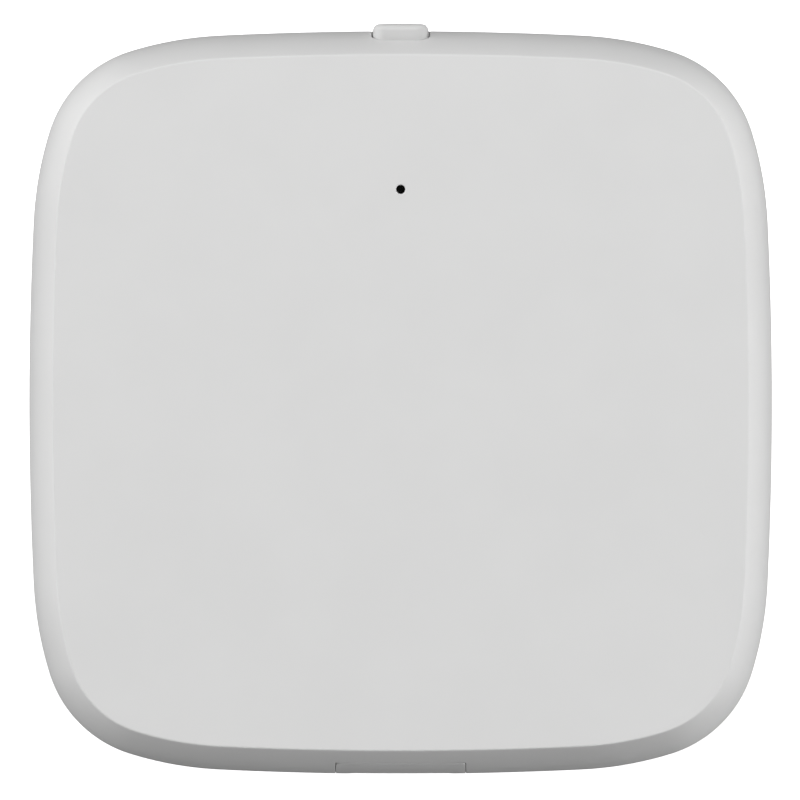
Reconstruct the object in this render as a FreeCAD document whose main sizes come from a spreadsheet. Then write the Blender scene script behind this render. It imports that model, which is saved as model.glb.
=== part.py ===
"""Smart home hub: a square, soft-cornered case that holds a circuit board, a button and a socket.

Millimetres. The hub lies flat with its face up. The origin is on the centre line of the case, at
the height of the surface that the rubber feet stand on. +Z is up, +Y points to the button and -Y
to the power socket.
"""
import FreeCAD, Part
import math
import os
import Sketcher
from types import SimpleNamespace

Vector = FreeCAD.Vector

DIMENSIONS = [
    # the case from above: sixteen arcs that run into one another
    ("half_width", 32.5, "centre line to the middle of each side"),
    ("side_radius", 332.6, "gentle bow of each side"),
    ("shoulder_radius", 31.45, "arc between a side and a corner"),
    ("corner_radius", 10.68, "arc round a corner"),
    ("corner_centre", 20.54, "corner arc's centre, along X and along Y"),
    # the case from the side
    ("face_height", 17.0, "flat face above the surface it stands on"),
    ("edge_radius", 10.0, "arc of the band between the face and the wall"),
    ("edge_band", 2.1, "width of that band, seen from above"),
    ("parting_height", 5.6, "lower rim of the front cover"),
    ("parting_gap", 0.25, "shadow line between the two shells"),
    ("underside_height", 0.6, "underside of the base cover"),
    ("base_edge_radius", 5.5, "arc between the wall and the underside"),
    ("base_edge_band", 2.4, "width of that arc, seen from below"),
    ("wall", 1.8, "thickness of both shells"),
    ("cover_inner_radius", 3.0, "fillet inside the front cover"),
    ("base_inner_radius", 2.5, "fillet inside the base cover"),
    ("base_floor", 1.6, "thickness of the base cover's floor"),
    ("rebate_inset", 0.95, "outside of the rebate in the front cover's rim"),
    ("rebate_depth", 1.9, "height of that rebate"),
    ("tongue_inset", 1.05, "outside of the base cover's tongue"),
    ("tongue_height", 1.95, "tongue above the base cover's rim"),
    # status light
    ("pinhole_width", 0.8, "hole in the face over the status light"),
    ("pinhole_y", 18.6, "hole and light, from the centre"),
    ("guide_width", 2.6, "clear light guide"),
    ("guide_bottom", 9.8, "lower end of the guide"),
    ("guide_fit", 0.05, "clearance round the guide and over its end"),
    ("guide_socket_width", 4.6, "socket that holds the guide"),
    ("guide_socket_bottom", 12.2, "lower end of that socket"),
    ("led_length", 2.0, "status light"),
    ("led_width", 1.25, "status light"),
    ("led_height", 0.8, "status light"),
    # circuit board
    ("board_inset", 3.1, "edge of the board inside the case's outline"),
    ("board_bottom", 7.6, "underside of the board"),
    ("board_thickness", 1.0, "board"),
    ("board_boss_width", 4.6, "bosses that the board is screwed to"),
    ("board_screw_x", 13.5, "board screws, from the centre"),
    ("board_screw_y", 25.8, "board screws, from the centre"),
    ("board_screw_hole", 2.3, "screw holes in the board"),
    ("board_pilot", 2.0, "blind hole in a board boss"),
    ("board_pilot_top", 14.0, "end of that hole"),
    ("notch_width", 9.4, "cut-out at the board's edge behind the button"),
    ("notch_y", 28.3, "bottom of that cut-out"),
    # case screws and feet
    ("case_screw_spot", 20.5, "case screws and feet, from the centre along X and Y"),
    ("case_boss_width", 5.2, "front cover's bosses for the case screws"),
    ("case_boss_bottom", 6.7, "lower end of those bosses"),
    ("case_boss_hole", 6.2, "holes in the board that the bosses pass through"),
    ("case_pilot", 2.2, "blind hole in a case boss"),
    ("case_pilot_top", 13.0, "end of that hole"),
    ("post_width", 6.2, "base cover's posts"),
    ("post_top", 6.5, "upper end of the posts"),
    ("screw_seat", 4.4, "where the case screws' heads bear"),
    ("counterbore", 4.3, "recess round a case screw's head"),
    ("clearance_hole", 2.6, "hole for a case screw's shank"),
    ("foot_width", 8.0, "rubber foot"),
    ("foot_recess_width", 8.2, "recess that holds a foot"),
    ("foot_recess_depth", 0.6, "recess that holds a foot"),
    ("foot_edge_radius", 0.35, "rounded edge of a foot"),
    ("label_length", 34.0, "blank rating label"),
    ("label_width", 20.0, "blank rating label"),
    ("label_thickness", 0.12, "blank rating label"),
    ("label_corner", 1.5, "blank rating label"),
    ("label_recess_depth", 0.15, "recess round the label"),
    ("label_gap", 0.2, "play round the label in its recess"),
    # button
    ("button_width", 4.86, "cap of the button"),
    ("button_depth", 6.08, "cap of the button, along Z"),
    ("button_z", 11.7, "middle of the cap"),
    ("button_corner", 1.0, "corners of the cap, seen from outside"),
    ("button_edge", 0.6, "rounded edge of the cap's outer face"),
    ("button_face_y", 33.13, "outer face of the cap"),
    ("button_gap", 0.12, "gap round the cap in its opening"),
    ("flange_width", 7.4, "flange that keeps the button in"),
    ("flange_depth", 6.7, "flange, along Z"),
    ("flange_y", 30.6, "outer face of the flange"),
    ("flange_thickness", 0.9, "flange"),
    ("flange_room", 0.35, "room round the flange inside the cover"),
    ("recess_y", 25.7, "inner end of the room that is cut for the button"),
    ("stem_width", 2.6, "stem between the button and the switch"),
    ("stem_y", 28.52, "end of the stem"),
    # tact switch behind the button
    ("switch_size", 6.0, "switch body, along X and Z"),
    ("switch_front_y", 27.3, "front of the switch body"),
    ("switch_thickness", 3.0, "switch body, along Y"),
    ("switch_well", 5.0, "round well in the switch body"),
    ("switch_well_depth", 2.0, "round well in the switch body"),
    ("frame_gap", 0.03, "between the switch body and its metal frame"),
    ("frame_metal", 0.22, "thickness of the frame"),
    ("frame_arm", 2.6, "length of the frame's side arms"),
    ("frame_hole", 3.7, "hole for the plunger"),
    ("plunger_width", 3.4, "plunger"),
    ("plunger_tip_y", 28.5, "end of the plunger"),
    ("plunger_flange_width", 4.6, "plunger's flange inside the well"),
    ("plunger_flange_y", 26.9, "outer face of that flange"),
    ("plunger_flange_thickness", 0.9, "plunger's flange"),
    ("plunger_edge", 0.3, "rounded end of the plunger"),
    ("dome_width", 4.4, "snap dome"),
    ("dome_height", 0.55, "snap dome"),
    ("dome_metal", 0.1, "thickness of the snap dome"),
    # power socket and the bezel round it
    ("socket_z", 10.18, "axis of the power socket"),
    ("socket_width", 8.94, "metal shell of the socket"),
    ("socket_height", 3.16, "metal shell of the socket"),
    ("socket_metal", 0.3, "thickness of that shell"),
    ("socket_mouth_y", -32.1, "mouth of the socket"),
    ("socket_length", 7.35, "metal shell of the socket"),
    ("socket_leg_width", 1.1, "legs that the socket is soldered by, along Y"),
    ("socket_leg_front_y", -27.9, "first pair of legs"),
    ("socket_leg_back_y", -25.6, "second pair of legs"),
    ("socket_leg_end", 7.3, "lower end of the legs"),
    ("leg_slot_room", 0.2, "play round a leg in its slot"),
    ("tongue_width", 6.7, "tongue inside the socket"),
    ("tongue_thickness", 0.7, "tongue inside the socket"),
    ("tongue_end_y", -31.4, "end of the tongue"),
    ("tongue_block", 1.5, "block that closes the back of the socket"),
    ("contact_pitch", 0.5, "contacts on the tongue"),
    ("contact_width", 0.26, "contacts on the tongue"),
    ("contact_length", 3.6, "contacts on the tongue"),
    ("contact_metal", 0.06, "contacts on the tongue"),
    ("contact_start_y", -30.9, "outer end of the contacts"),
    ("bezel_width", 11.3, "flush insert round the socket"),
    ("bezel_top", 15.13, "upper edge of the insert"),
    ("bezel_corner", 0.5, "corners of the insert"),
    ("bezel_gap", 0.06, "seam round the insert"),
    ("bezel_opening_corner", 0.25, "upper corners of the opening for the insert"),
    ("bezel_inner_y", -30.2, "inner face of the insert"),
    ("bezel_notch_y", -29.9, "inner end of the opening for the insert"),
    ("bezel_flange_width", 14.4, "flange behind the insert"),
    ("bezel_flange_top", 12.0, "flange behind the insert"),
    ("bezel_flange_y", -30.5, "outer face of that flange"),
    ("bezel_flange_thickness", 0.8, "flange behind the insert"),
    ("plug_hole_width", 9.4, "hole for the plug's nose"),
    ("plug_hole_height", 3.6, "hole for the plug's nose"),
    ("plug_hole_lead_in", 0.3, "chamfer at the mouth of that hole"),
    # radio modules
    ("module_board_thickness", 0.8, "board of a radio module"),
    ("module_width", 16.0, "both radio modules, along X"),
    ("wifi_length", 24.0, "Wi-Fi module, along Y"),
    ("mesh_length", 20.0, "mesh radio module, along Y"),
    ("module_x", 18.6, "middle of each module, from the centre"),
    ("module_y", -12.0, "socket end of the modules"),
    ("shield_margin", 0.9, "bare board round a shield can"),
    ("shield_height", 2.2, "shield can"),
    ("shield_metal", 0.2, "thickness of a shield can"),
    ("shield_corner", 0.8, "upright edges of a shield can"),
    ("antenna_length", 6.0, "end of a module that carries its antenna"),
    # power supply, memory and clock
    ("inductor_x", -4.4, "middle of the power inductor"),
    ("inductor_y", -16.6, "middle of the power inductor"),
    ("inductor_size", 5.0, "power inductor, along X and Y"),
    ("inductor_height", 2.6, "power inductor"),
    ("inductor_corner", 0.9, "power inductor"),
    ("can_x", 4.4, "middle of the bulk capacitor"),
    ("can_y", -16.2, "middle of the bulk capacitor"),
    ("can_width", 6.3, "bulk capacitor's can"),
    ("can_height", 5.2, "bulk capacitor's can"),
    ("can_edge", 0.5, "rounded top of the can"),
    ("can_base_size", 6.6, "plastic base under the can"),
    ("can_base_height", 0.5, "plastic base under the can"),
    ("crystal_y", 4.8, "middle of the crystal"),
    ("crystal_length", 3.2, "crystal"),
    ("crystal_width", 2.5, "crystal"),
    ("crystal_height", 0.7, "crystal"),
    ("crystal_corner", 0.3, "crystal"),
    ("regulator_y", -9.6, "middle of the voltage regulator"),
    ("regulator_length", 2.9, "voltage regulator"),
    ("regulator_width", 1.6, "voltage regulator"),
    ("regulator_height", 1.1, "voltage regulator"),
    ("regulator_pitch", 0.95, "spacing of its leads"),
    ("flash_y", -2.0, "middle of the memory chip"),
    ("flash_length", 4.9, "memory chip"),
    ("flash_width", 3.9, "memory chip"),
    ("flash_height", 1.5, "memory chip"),
    ("flash_pitch", 1.27, "spacing of its leads"),
    ("lead_length", 0.95, "flat lead of a chip"),
    ("lead_width", 0.42, "flat lead of a chip"),
    ("lead_metal", 0.18, "flat lead of a chip"),
    ("capacitor_length", 1.6, "small ceramic capacitor"),
    ("capacitor_width", 0.8, "small ceramic capacitor"),
    ("resistor_length", 1.0, "small resistor"),
    ("resistor_width", 0.5, "small resistor"),
    ("resistor_height", 0.35, "small resistor"),
    # screws
    ("board_screw_length", 6.0, "shank of a board screw"),
    ("board_screw_width", 1.9, "shank of a board screw"),
    ("board_screw_head", 3.6, "head of a board screw"),
    ("board_screw_head_height", 1.3, "head of a board screw"),
    ("case_screw_length", 8.0, "shank of a case screw"),
    ("case_screw_width", 2.1, "shank of a case screw"),
    ("case_screw_head", 3.9, "head of a case screw"),
    ("case_screw_head_height", 1.6, "head of a case screw"),
    ("head_round", 0.6, "rounded edge of a screw's head"),
    ("driver_slot", 0.5, "width of the cross recess"),
    ("driver_reach", 2.2, "length of the cross recess"),
    ("driver_depth", 0.8, "depth of the cross recess"),
]

# Small parts on the board, by hand: where each one's middle is, and whether it lies along Y.
CAPACITOR_SPOTS = [(-6.6, -9.5, True), (6.6, -9.5, True), (-6.6, -5.0, True), (6.6, -5.0, True),
                   (-7.0, 2.0, True), (7.0, 2.0, True), (-3.4, 9.4, False), (3.4, 9.4, False),
                   (-9.0, 18.0, False), (9.0, 18.0, False), (-14.0, -17.5, False),
                   (14.0, -17.5, False)]
RESISTOR_SPOTS = [(-2.8, 18.6, True), (2.8, 18.6, True), (-5.2, 13.5, False), (-3.2, 13.5, False),
                  (3.2, 13.5, False), (5.2, 13.5, False), (-8.2, 8.0, True), (8.2, 8.0, True),
                  (-7.0, -20.8, False), (7.0, -20.8, False), (-9.6, -23.0, True),
                  (9.6, -23.0, True)]

doc = FreeCAD.newDocument("smart_home_hub")


# ---------------------------------------------------------------- sizes and the spreadsheet

class Size:
    """A length together with the spreadsheet expression that gives it."""

    def __init__(self, value, text):
        self.value = value
        self.text = text

    def __add__(self, other):
        other = as_size(other)
        return Size(self.value + other.value, f"({self.text} + {other.text})")

    def __sub__(self, other):
        other = as_size(other)
        return Size(self.value - other.value, f"({self.text} - {other.text})")

    def __mul__(self, factor):
        factor = as_size(factor)
        return Size(self.value * factor.value, f"{self.text} * {factor.text}")

    def __truediv__(self, divisor):
        return Size(self.value / divisor, f"{self.text} / {divisor}")

    def __neg__(self):
        return Size(-self.value, f"(0 - {self.text})")


def as_size(number):
    return number if isinstance(number, Size) else Size(number, f"{number}")


def rise(radius, inset):
    """Height gained on an arc of this radius while it comes inwards by inset."""
    left = radius - inset
    value = math.sqrt(radius.value ** 2 - left.value ** 2)
    return Size(value, f"sqrt({radius.text} ^ 2 - {left.text} ^ 2)")


def make_sheet():
    sheet = doc.addObject("Spreadsheet::Sheet", "dims")
    for row, (alias, value, meaning) in enumerate(DIMENSIONS, 1):
        sheet.set(f"A{row}", alias)
        sheet.set(f"B{row}", str(value))
        sheet.set(f"C{row}", meaning)
        sheet.setAlias(f"B{row}", alias)
    doc.recompute()
    return SimpleNamespace(**{alias: Size(float(sheet.get(alias)), f"dims.{alias}")
                              for alias, _, _ in DIMENSIONS})


d = make_sheet()

ZERO = as_size(0.0)
BEYOND = as_size(40.0)      # past the case in every direction
embed = d.wall / 4          # how far bosses and posts run into the wall they stand on
edge_centre = d.face_height - rise(d.edge_radius, d.edge_band)
edge_top = edge_centre + d.edge_radius
base_edge_centre = d.underside_height + rise(d.base_edge_radius, d.base_edge_band)
cover_ceiling = d.face_height - d.wall
base_rim = d.parting_height - d.parting_gap
base_floor_top = d.underside_height + d.base_floor
board_top = d.board_bottom + d.board_thickness
inner_y = d.half_width - d.wall
switch_z = board_top + d.switch_size / 2


def bind(thing, path, size):
    thing.setExpression(path, as_size(size).text)


# ---------------------------------------------------------------- sketches

def sketch_on(body, name, role, offset=ZERO):
    """A sketch on one of the body's origin planes, moved along that plane's normal.

    On XZ_Plane the normal is -Y, so a sketch at y = 20 has an offset of -20.
    """
    sketch = body.newObject("Sketcher::SketchObject", name)
    plane = next(item for item in body.Origin.OriginFeatures if item.Role == role)
    sketch.AttachmentSupport = [(plane, "")]
    sketch.MapMode = "FlatFace"
    bind(sketch, "AttachmentOffset.Base.z", offset)
    return sketch


def hold(sketch, kind, references, size):
    """Add a dimension to a sketch and tie it to the spreadsheet."""
    index = sketch.addConstraint(Sketcher.Constraint(kind, *references, size.value))
    name = f"{kind.lower()}_{index}"
    sketch.renameConstraint(index, name)
    bind(sketch, f"Constraints.{name}", size)


def hold_point(sketch, item, point, x=None, y=None):
    """Fix a point of a sketch's item at x and y from the origin."""
    for kind, axis, size in (("DistanceX", -2, x), ("DistanceY", -1, y)):
        if size is None:
            continue
        if size.value == 0:
            sketch.addConstraint(Sketcher.Constraint("PointOnObject", item, point, axis))
        else:
            hold(sketch, kind, (-1, 1, item, point), size)


def join_loop(sketch, first, count, kind):
    """Join each item's end to the next one's start, all the way round."""
    for step in range(count):
        following = first + (step + 1) % count
        sketch.addConstraint(Sketcher.Constraint(kind, first + step, 2, following, 1))


def circle(sketch, x, y, width):
    item = sketch.addGeometry(Part.Circle(Vector(x.value, y.value), Vector(0, 0, 1),
                                          width.value / 2), False)
    hold(sketch, "Diameter", (item,), width)
    hold_point(sketch, item, 3, x, y)


def rectangle(sketch, left, right, bottom, top):
    corners = [Vector(left.value, bottom.value), Vector(right.value, bottom.value),
               Vector(right.value, top.value), Vector(left.value, top.value)]
    first = sketch.GeometryCount
    for step in range(4):
        sketch.addGeometry(Part.LineSegment(corners[step], corners[(step + 1) % 4]), False)
    join_loop(sketch, first, 4, "Coincident")
    for step, kind in enumerate(("Horizontal", "Vertical") * 2):
        sketch.addConstraint(Sketcher.Constraint(kind, first + step))
    hold_point(sketch, first, 1, left, bottom)
    hold_point(sketch, first + 2, 1, right, top)


def rounded_rectangle(sketch, left, right, bottom, top, radius):
    """A rectangle with four equal round corners, each line followed by its corner arc."""
    reach = radius.value
    low_x, high_x = left.value + reach, right.value - reach
    low_y, high_y = bottom.value + reach, top.value - reach
    lines = [((low_x, bottom.value), (high_x, bottom.value)),
             ((right.value, low_y), (right.value, high_y)),
             ((high_x, top.value), (low_x, top.value)),
             ((left.value, high_y), (left.value, low_y))]
    centres = [(high_x, low_y), (high_x, high_y), (low_x, high_y), (low_x, low_y)]
    first = sketch.GeometryCount
    for step in range(4):
        start, end = lines[step]
        sketch.addGeometry(Part.LineSegment(Vector(*start), Vector(*end)), False)
        round_corner = Part.Circle(Vector(*centres[step]), Vector(0, 0, 1), reach)
        turned = math.pi / 2 * (step - 1)
        sketch.addGeometry(Part.ArcOfCircle(round_corner, turned, turned + math.pi / 2), False)
    join_loop(sketch, first, 8, "Tangent")
    for step, kind in enumerate(("Horizontal", "Vertical") * 2):
        sketch.addConstraint(Sketcher.Constraint(kind, first + 2 * step))
    for step in (3, 5, 7):
        sketch.addConstraint(Sketcher.Constraint("Equal", first + 1, first + step))
    hold(sketch, "Radius", (first + 1,), radius)
    hold_point(sketch, first, 1, y=bottom)
    hold_point(sketch, first + 2, 1, x=right)
    hold_point(sketch, first + 4, 1, y=top)
    hold_point(sketch, first + 6, 1, x=left)


def stadium(sketch, width, height, y):
    """A slot shape centred on the sketch's vertical axis."""
    radius = height.value / 2
    reach = width.value / 2 - radius
    first = sketch.GeometryCount
    for side in (1, -1):
        end = Part.Circle(Vector(side * reach, y.value), Vector(0, 0, 1), radius)
        turned = -side * math.pi / 2
        sketch.addGeometry(Part.ArcOfCircle(end, turned, turned + math.pi), False)
        level = y.value + side * radius
        sketch.addGeometry(Part.LineSegment(Vector(side * reach, level),
                                            Vector(-side * reach, level)), False)
    join_loop(sketch, first, 4, "Tangent")
    sketch.addConstraint(Sketcher.Constraint("Horizontal", first + 1))
    sketch.addConstraint(Sketcher.Constraint("Horizontal", first + 3))
    hold(sketch, "Radius", (first,), height / 2)
    hold_point(sketch, first, 3, (width - height) / 2, y)
    hold_point(sketch, first + 2, 3, -(width - height) / 2)


def shoulder_centre():
    """The point from which a shoulder arc meets both its side arc and its corner arc."""
    side = Vector(0, d.half_width.value - d.side_radius.value)
    corner = Vector(d.corner_centre.value, d.corner_centre.value)
    from_side = d.side_radius.value - d.shoulder_radius.value
    from_corner = d.shoulder_radius.value - d.corner_radius.value
    apart = corner.distanceToPoint(side)
    along = (from_side ** 2 - from_corner ** 2 + apart ** 2) / (2 * apart)
    across = math.sqrt(from_side ** 2 - along ** 2)
    forward = (corner - side) / apart
    return side, side + forward * along + Vector(-forward.y, forward.x) * across, corner


def quarter_turns(point, turns):
    for _ in range(turns):
        point = Vector(-point.y, point.x)
    return point


def outline(sketch, inset=ZERO):
    """The case's outline, drawn in from its outer surface by inset.

    Each quarter has a side arc, a shoulder arc, a corner arc and a second shoulder arc. They all
    keep their centres when the outline is drawn in, so every inset outline is an exact offset.
    """
    side, shoulder, corner = shoulder_centre()
    side_end = math.atan2(shoulder.x - side.x, shoulder.y - side.y)
    corner_start = math.atan2(corner.x - shoulder.x, corner.y - shoulder.y)
    quarter = math.pi / 2
    swap = [Vector(point.y, point.x) for point in (side, shoulder)]
    arcs = [("side", swap[0], -side_end, side_end),
            ("shoulder", swap[1], side_end, corner_start),
            ("corner", corner, corner_start, quarter - corner_start),
            ("shoulder", shoulder, quarter - corner_start, quarter - side_end)]
    radii = {"side": d.side_radius - inset, "shoulder": d.shoulder_radius - inset,
             "corner": d.corner_radius - inset}
    first = sketch.GeometryCount
    for turns in range(4):
        for kind, centre, start, end in arcs:
            circle_here = Part.Circle(quarter_turns(centre, turns), Vector(0, 0, 1),
                                      radii[kind].value)
            turned = turns * quarter
            sketch.addGeometry(Part.ArcOfCircle(circle_here, start + turned, end + turned), False)
    join_loop(sketch, first, 16, "Tangent")
    for step, (kind, _, _, _) in enumerate(arcs[:3]):
        hold(sketch, "Radius", (first + step,), radii[kind])
        alike = range(step + 4, 16, 4)
        if kind == "shoulder":
            alike = [item for item in range(step + 2, 16, 2)]
        for item in alike:
            sketch.addConstraint(Sketcher.Constraint("Equal", first + step, first + item))
    bow = d.side_radius - d.half_width
    for turns, (x, y) in enumerate([(-bow, ZERO), (ZERO, -bow), (bow, ZERO), (ZERO, bow)]):
        hold_point(sketch, first + 4 * turns, 3, x, y)
    for turns, (x, y) in enumerate([(1, 1), (-1, 1), (-1, -1), (1, -1)]):
        hold_point(sketch, first + 4 * turns + 2, 3, d.corner_centre * x, d.corner_centre * y)


# ---------------------------------------------------------------- features

def new_body(label):
    return doc.addObject("PartDesign::Body", label)


def pad(body, name, sketch, length, against_normal=False):
    feature = body.newObject("PartDesign::Pad", name)
    feature.Profile = sketch
    feature.Reversed = against_normal
    bind(feature, "Length", length)
    return feature


def pocket(body, name, sketch, length, along_normal=False):
    """Cut a sketch into the body, and make sure that it does remove material."""
    doc.recompute()
    before = body.Shape.Volume
    feature = body.newObject("PartDesign::Pocket", name)
    feature.Profile = sketch
    feature.Reversed = along_normal
    bind(feature, "Length", length)
    doc.recompute()
    if not body.Shape.Volume < before:
        raise RuntimeError(f"{name} in {body.Label} removes nothing")
    return feature


def dress_edges(body, kind, name, size, chosen):
    """Fillet or chamfer the edges that chosen picks from the body as it is now."""
    doc.recompute()
    base = body.Tip
    names = [f"Edge{number}" for number, edge in enumerate(base.Shape.Edges, 1) if chosen(edge)]
    feature = body.newObject(f"PartDesign::{kind}", name)
    feature.Base = (base, names)
    bind(feature, "Radius" if kind == "Fillet" else "Size", size)
    doc.recompute()
    return feature


def level_with(axis, size):
    """Picks edges that lie all along in the plane where axis equals size."""
    def chosen(edge):
        box = edge.BoundBox
        low, high = getattr(box, f"{axis}Min"), getattr(box, f"{axis}Max")
        return abs(low - size.value) < 0.002 and abs(high - size.value) < 0.002
    return chosen


def block(label, x, y, bottom, length, width, height):
    """A plain box with its middle at x and y."""
    box = doc.addObject("Part::Box", label)
    bind(box, "Length", length)
    bind(box, "Width", width)
    bind(box, "Height", height)
    bind(box, "Placement.Base.x", as_size(x) - as_size(length) / 2)
    bind(box, "Placement.Base.y", as_size(y) - as_size(width) / 2)
    bind(box, "Placement.Base.z", bottom)
    return box


def group(label, members):
    """Several like pieces that share one node."""
    together = doc.addObject("Part::Compound", label)
    together.Links = members
    return together


def all_corners(x, y):
    return [(x * across, y * along) for across in (-1, 1) for along in (-1, 1)]


# ---------------------------------------------------------------- the two shells

def case_form(body, bottom):
    """The case's outer shape above bottom: straight wall, curved band and flat face."""
    base = sketch_on(body, "case_outline", "XY_Plane", bottom)
    outline(base)
    pad(body, "case_wall", base, edge_top - bottom)
    dress_edges(body, "Fillet", "edge_band", d.edge_radius, level_with("Z", edge_top))
    above = sketch_on(body, "above_face", "XY_Plane", d.face_height)
    rectangle(above, -BEYOND, BEYOND, -BEYOND, BEYOND)
    pocket(body, "flat_face", above, d.edge_radius, along_normal=True)


def make_front_cover():
    body = new_body("front_cover")
    case_form(body, d.parting_height)

    inside = sketch_on(body, "inside", "XY_Plane", d.parting_height)
    outline(inside, d.wall)
    pocket(body, "cavity", inside, cover_ceiling - d.parting_height, along_normal=True)
    dress_edges(body, "Fillet", "inner_fillet", d.cover_inner_radius,
                level_with("Z", cover_ceiling))
    rim = sketch_on(body, "rim", "XY_Plane", d.parting_height)
    outline(rim, d.rebate_inset)
    pocket(body, "rim_rebate", rim, d.rebate_depth, along_normal=True)

    # bosses hang from the ceiling, and each has a blind hole for its screw
    bosses = [("board_boss", board_top, all_corners(d.board_screw_x, d.board_screw_y),
               d.board_boss_width, d.board_pilot, d.board_pilot_top),
              ("case_boss", d.case_boss_bottom, all_corners(d.case_screw_spot, d.case_screw_spot),
               d.case_boss_width, d.case_pilot, d.case_pilot_top),
              ("guide_socket", d.guide_socket_bottom, [(ZERO, d.pinhole_y)],
               d.guide_socket_width, d.guide_width + d.guide_fit * 2, cover_ceiling)]
    for name, bottom, spots, width, hole, hole_top in bosses:
        around = sketch_on(body, name, "XY_Plane", bottom)
        bore = sketch_on(body, f"{name}_hole", "XY_Plane", bottom)
        for x, y in spots:
            circle(around, x, y, width)
            circle(bore, x, y, hole)
        pad(body, f"{name}_pad", around, cover_ceiling - bottom + embed)
        pocket(body, f"{name}_bore", bore, hole_top - bottom, along_normal=True)
    pinhole = sketch_on(body, "pinhole", "XY_Plane", d.guide_socket_bottom)
    circle(pinhole, ZERO, d.pinhole_y, d.pinhole_width)
    pocket(body, "pinhole_cut", pinhole, d.face_height, along_normal=True)

    # button: an opening through the wall, and a recess inside for the flange
    half_wide = d.flange_width / 2 + d.flange_room
    recess = sketch_on(body, "flange_recess", "XZ_Plane", -d.recess_y)
    rectangle(recess, -half_wide, half_wide, d.button_z - d.flange_depth / 2 - d.flange_room,
              cover_ceiling)
    pocket(body, "flange_recess_cut", recess, inner_y - d.recess_y)
    opening = sketch_on(body, "button_opening", "XZ_Plane", -d.recess_y)
    half_wide = d.button_width / 2 + d.button_gap
    half_deep = d.button_depth / 2 + d.button_gap
    rounded_rectangle(opening, -half_wide, half_wide, d.button_z - half_deep,
                      d.button_z + half_deep, d.button_corner + d.button_gap)
    pocket(body, "button_opening_cut", opening, d.half_width)

    # socket: a notch that is open at the rim, so that the insert slides in from below
    notch = sketch_on(body, "bezel_notch", "XZ_Plane", -d.bezel_notch_y)
    half_wide = d.bezel_width / 2 + d.bezel_gap
    rounded_rectangle(notch, -half_wide, half_wide, ZERO, d.bezel_top + d.bezel_gap,
                      d.bezel_opening_corner)
    pocket(body, "bezel_notch_cut", notch, d.half_width, along_normal=True)
    return body


def make_base_cover():
    body = new_body("base_cover")
    rim = sketch_on(body, "base_outline", "XY_Plane", base_rim)
    outline(rim)
    lowest = base_edge_centre - d.base_edge_radius
    pad(body, "base_wall", rim, base_rim - lowest, against_normal=True)
    dress_edges(body, "Fillet", "base_edge", d.base_edge_radius, level_with("Z", lowest))
    below = sketch_on(body, "below_underside", "XY_Plane", d.underside_height)
    rectangle(below, -BEYOND, BEYOND, -BEYOND, BEYOND)
    pocket(body, "flat_underside", below, d.base_edge_radius)

    inside = sketch_on(body, "inside", "XY_Plane", base_rim)
    outline(inside, d.wall)
    pocket(body, "cavity", inside, base_rim - base_floor_top)
    dress_edges(body, "Fillet", "inner_fillet", d.base_inner_radius,
                level_with("Z", base_floor_top))

    # the tongue that locates the front cover, left out where the insert's flange passes
    tongue = sketch_on(body, "tongue", "XY_Plane", base_rim)
    outline(tongue, d.tongue_inset)
    outline(tongue, d.wall)
    pad(body, "tongue_ring", tongue, d.tongue_height)
    gap = sketch_on(body, "tongue_gap", "XY_Plane", base_rim)
    half_wide = d.bezel_flange_width / 2 + d.bezel_gap
    rectangle(gap, -half_wide, half_wide, -d.half_width, d.bezel_flange_y + d.wall)
    pocket(body, "tongue_gap_cut", gap, d.tongue_height, along_normal=True)

    # screw posts, their recesses for the heads, and the recesses for feet and label
    spots = all_corners(d.case_screw_spot, d.case_screw_spot)
    posts = sketch_on(body, "posts", "XY_Plane", base_floor_top - embed)
    for x, y in spots:
        circle(posts, x, y, d.post_width)
    pad(body, "post_pads", posts, d.post_top - base_floor_top + embed)
    recess_top = d.underside_height + d.foot_recess_depth
    for name, width, top in (("foot_recess", d.foot_recess_width, recess_top),
                             ("counterbore", d.counterbore, d.screw_seat),
                             ("clearance", d.clearance_hole, d.post_top)):
        holes = sketch_on(body, name, "XY_Plane", d.underside_height)
        for x, y in spots:
            circle(holes, x, y, width)
        pocket(body, f"{name}_cut", holes, top - d.underside_height, along_normal=True)
    label = sketch_on(body, "label_recess", "XY_Plane", d.underside_height)
    half_long = d.label_length / 2 + d.label_gap
    half_wide = d.label_width / 2 + d.label_gap
    rounded_rectangle(label, -half_long, half_long, -half_wide, half_wide,
                      d.label_corner + d.label_gap)
    pocket(body, "label_recess_cut", label, d.label_recess_depth, along_normal=True)
    return body


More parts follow.
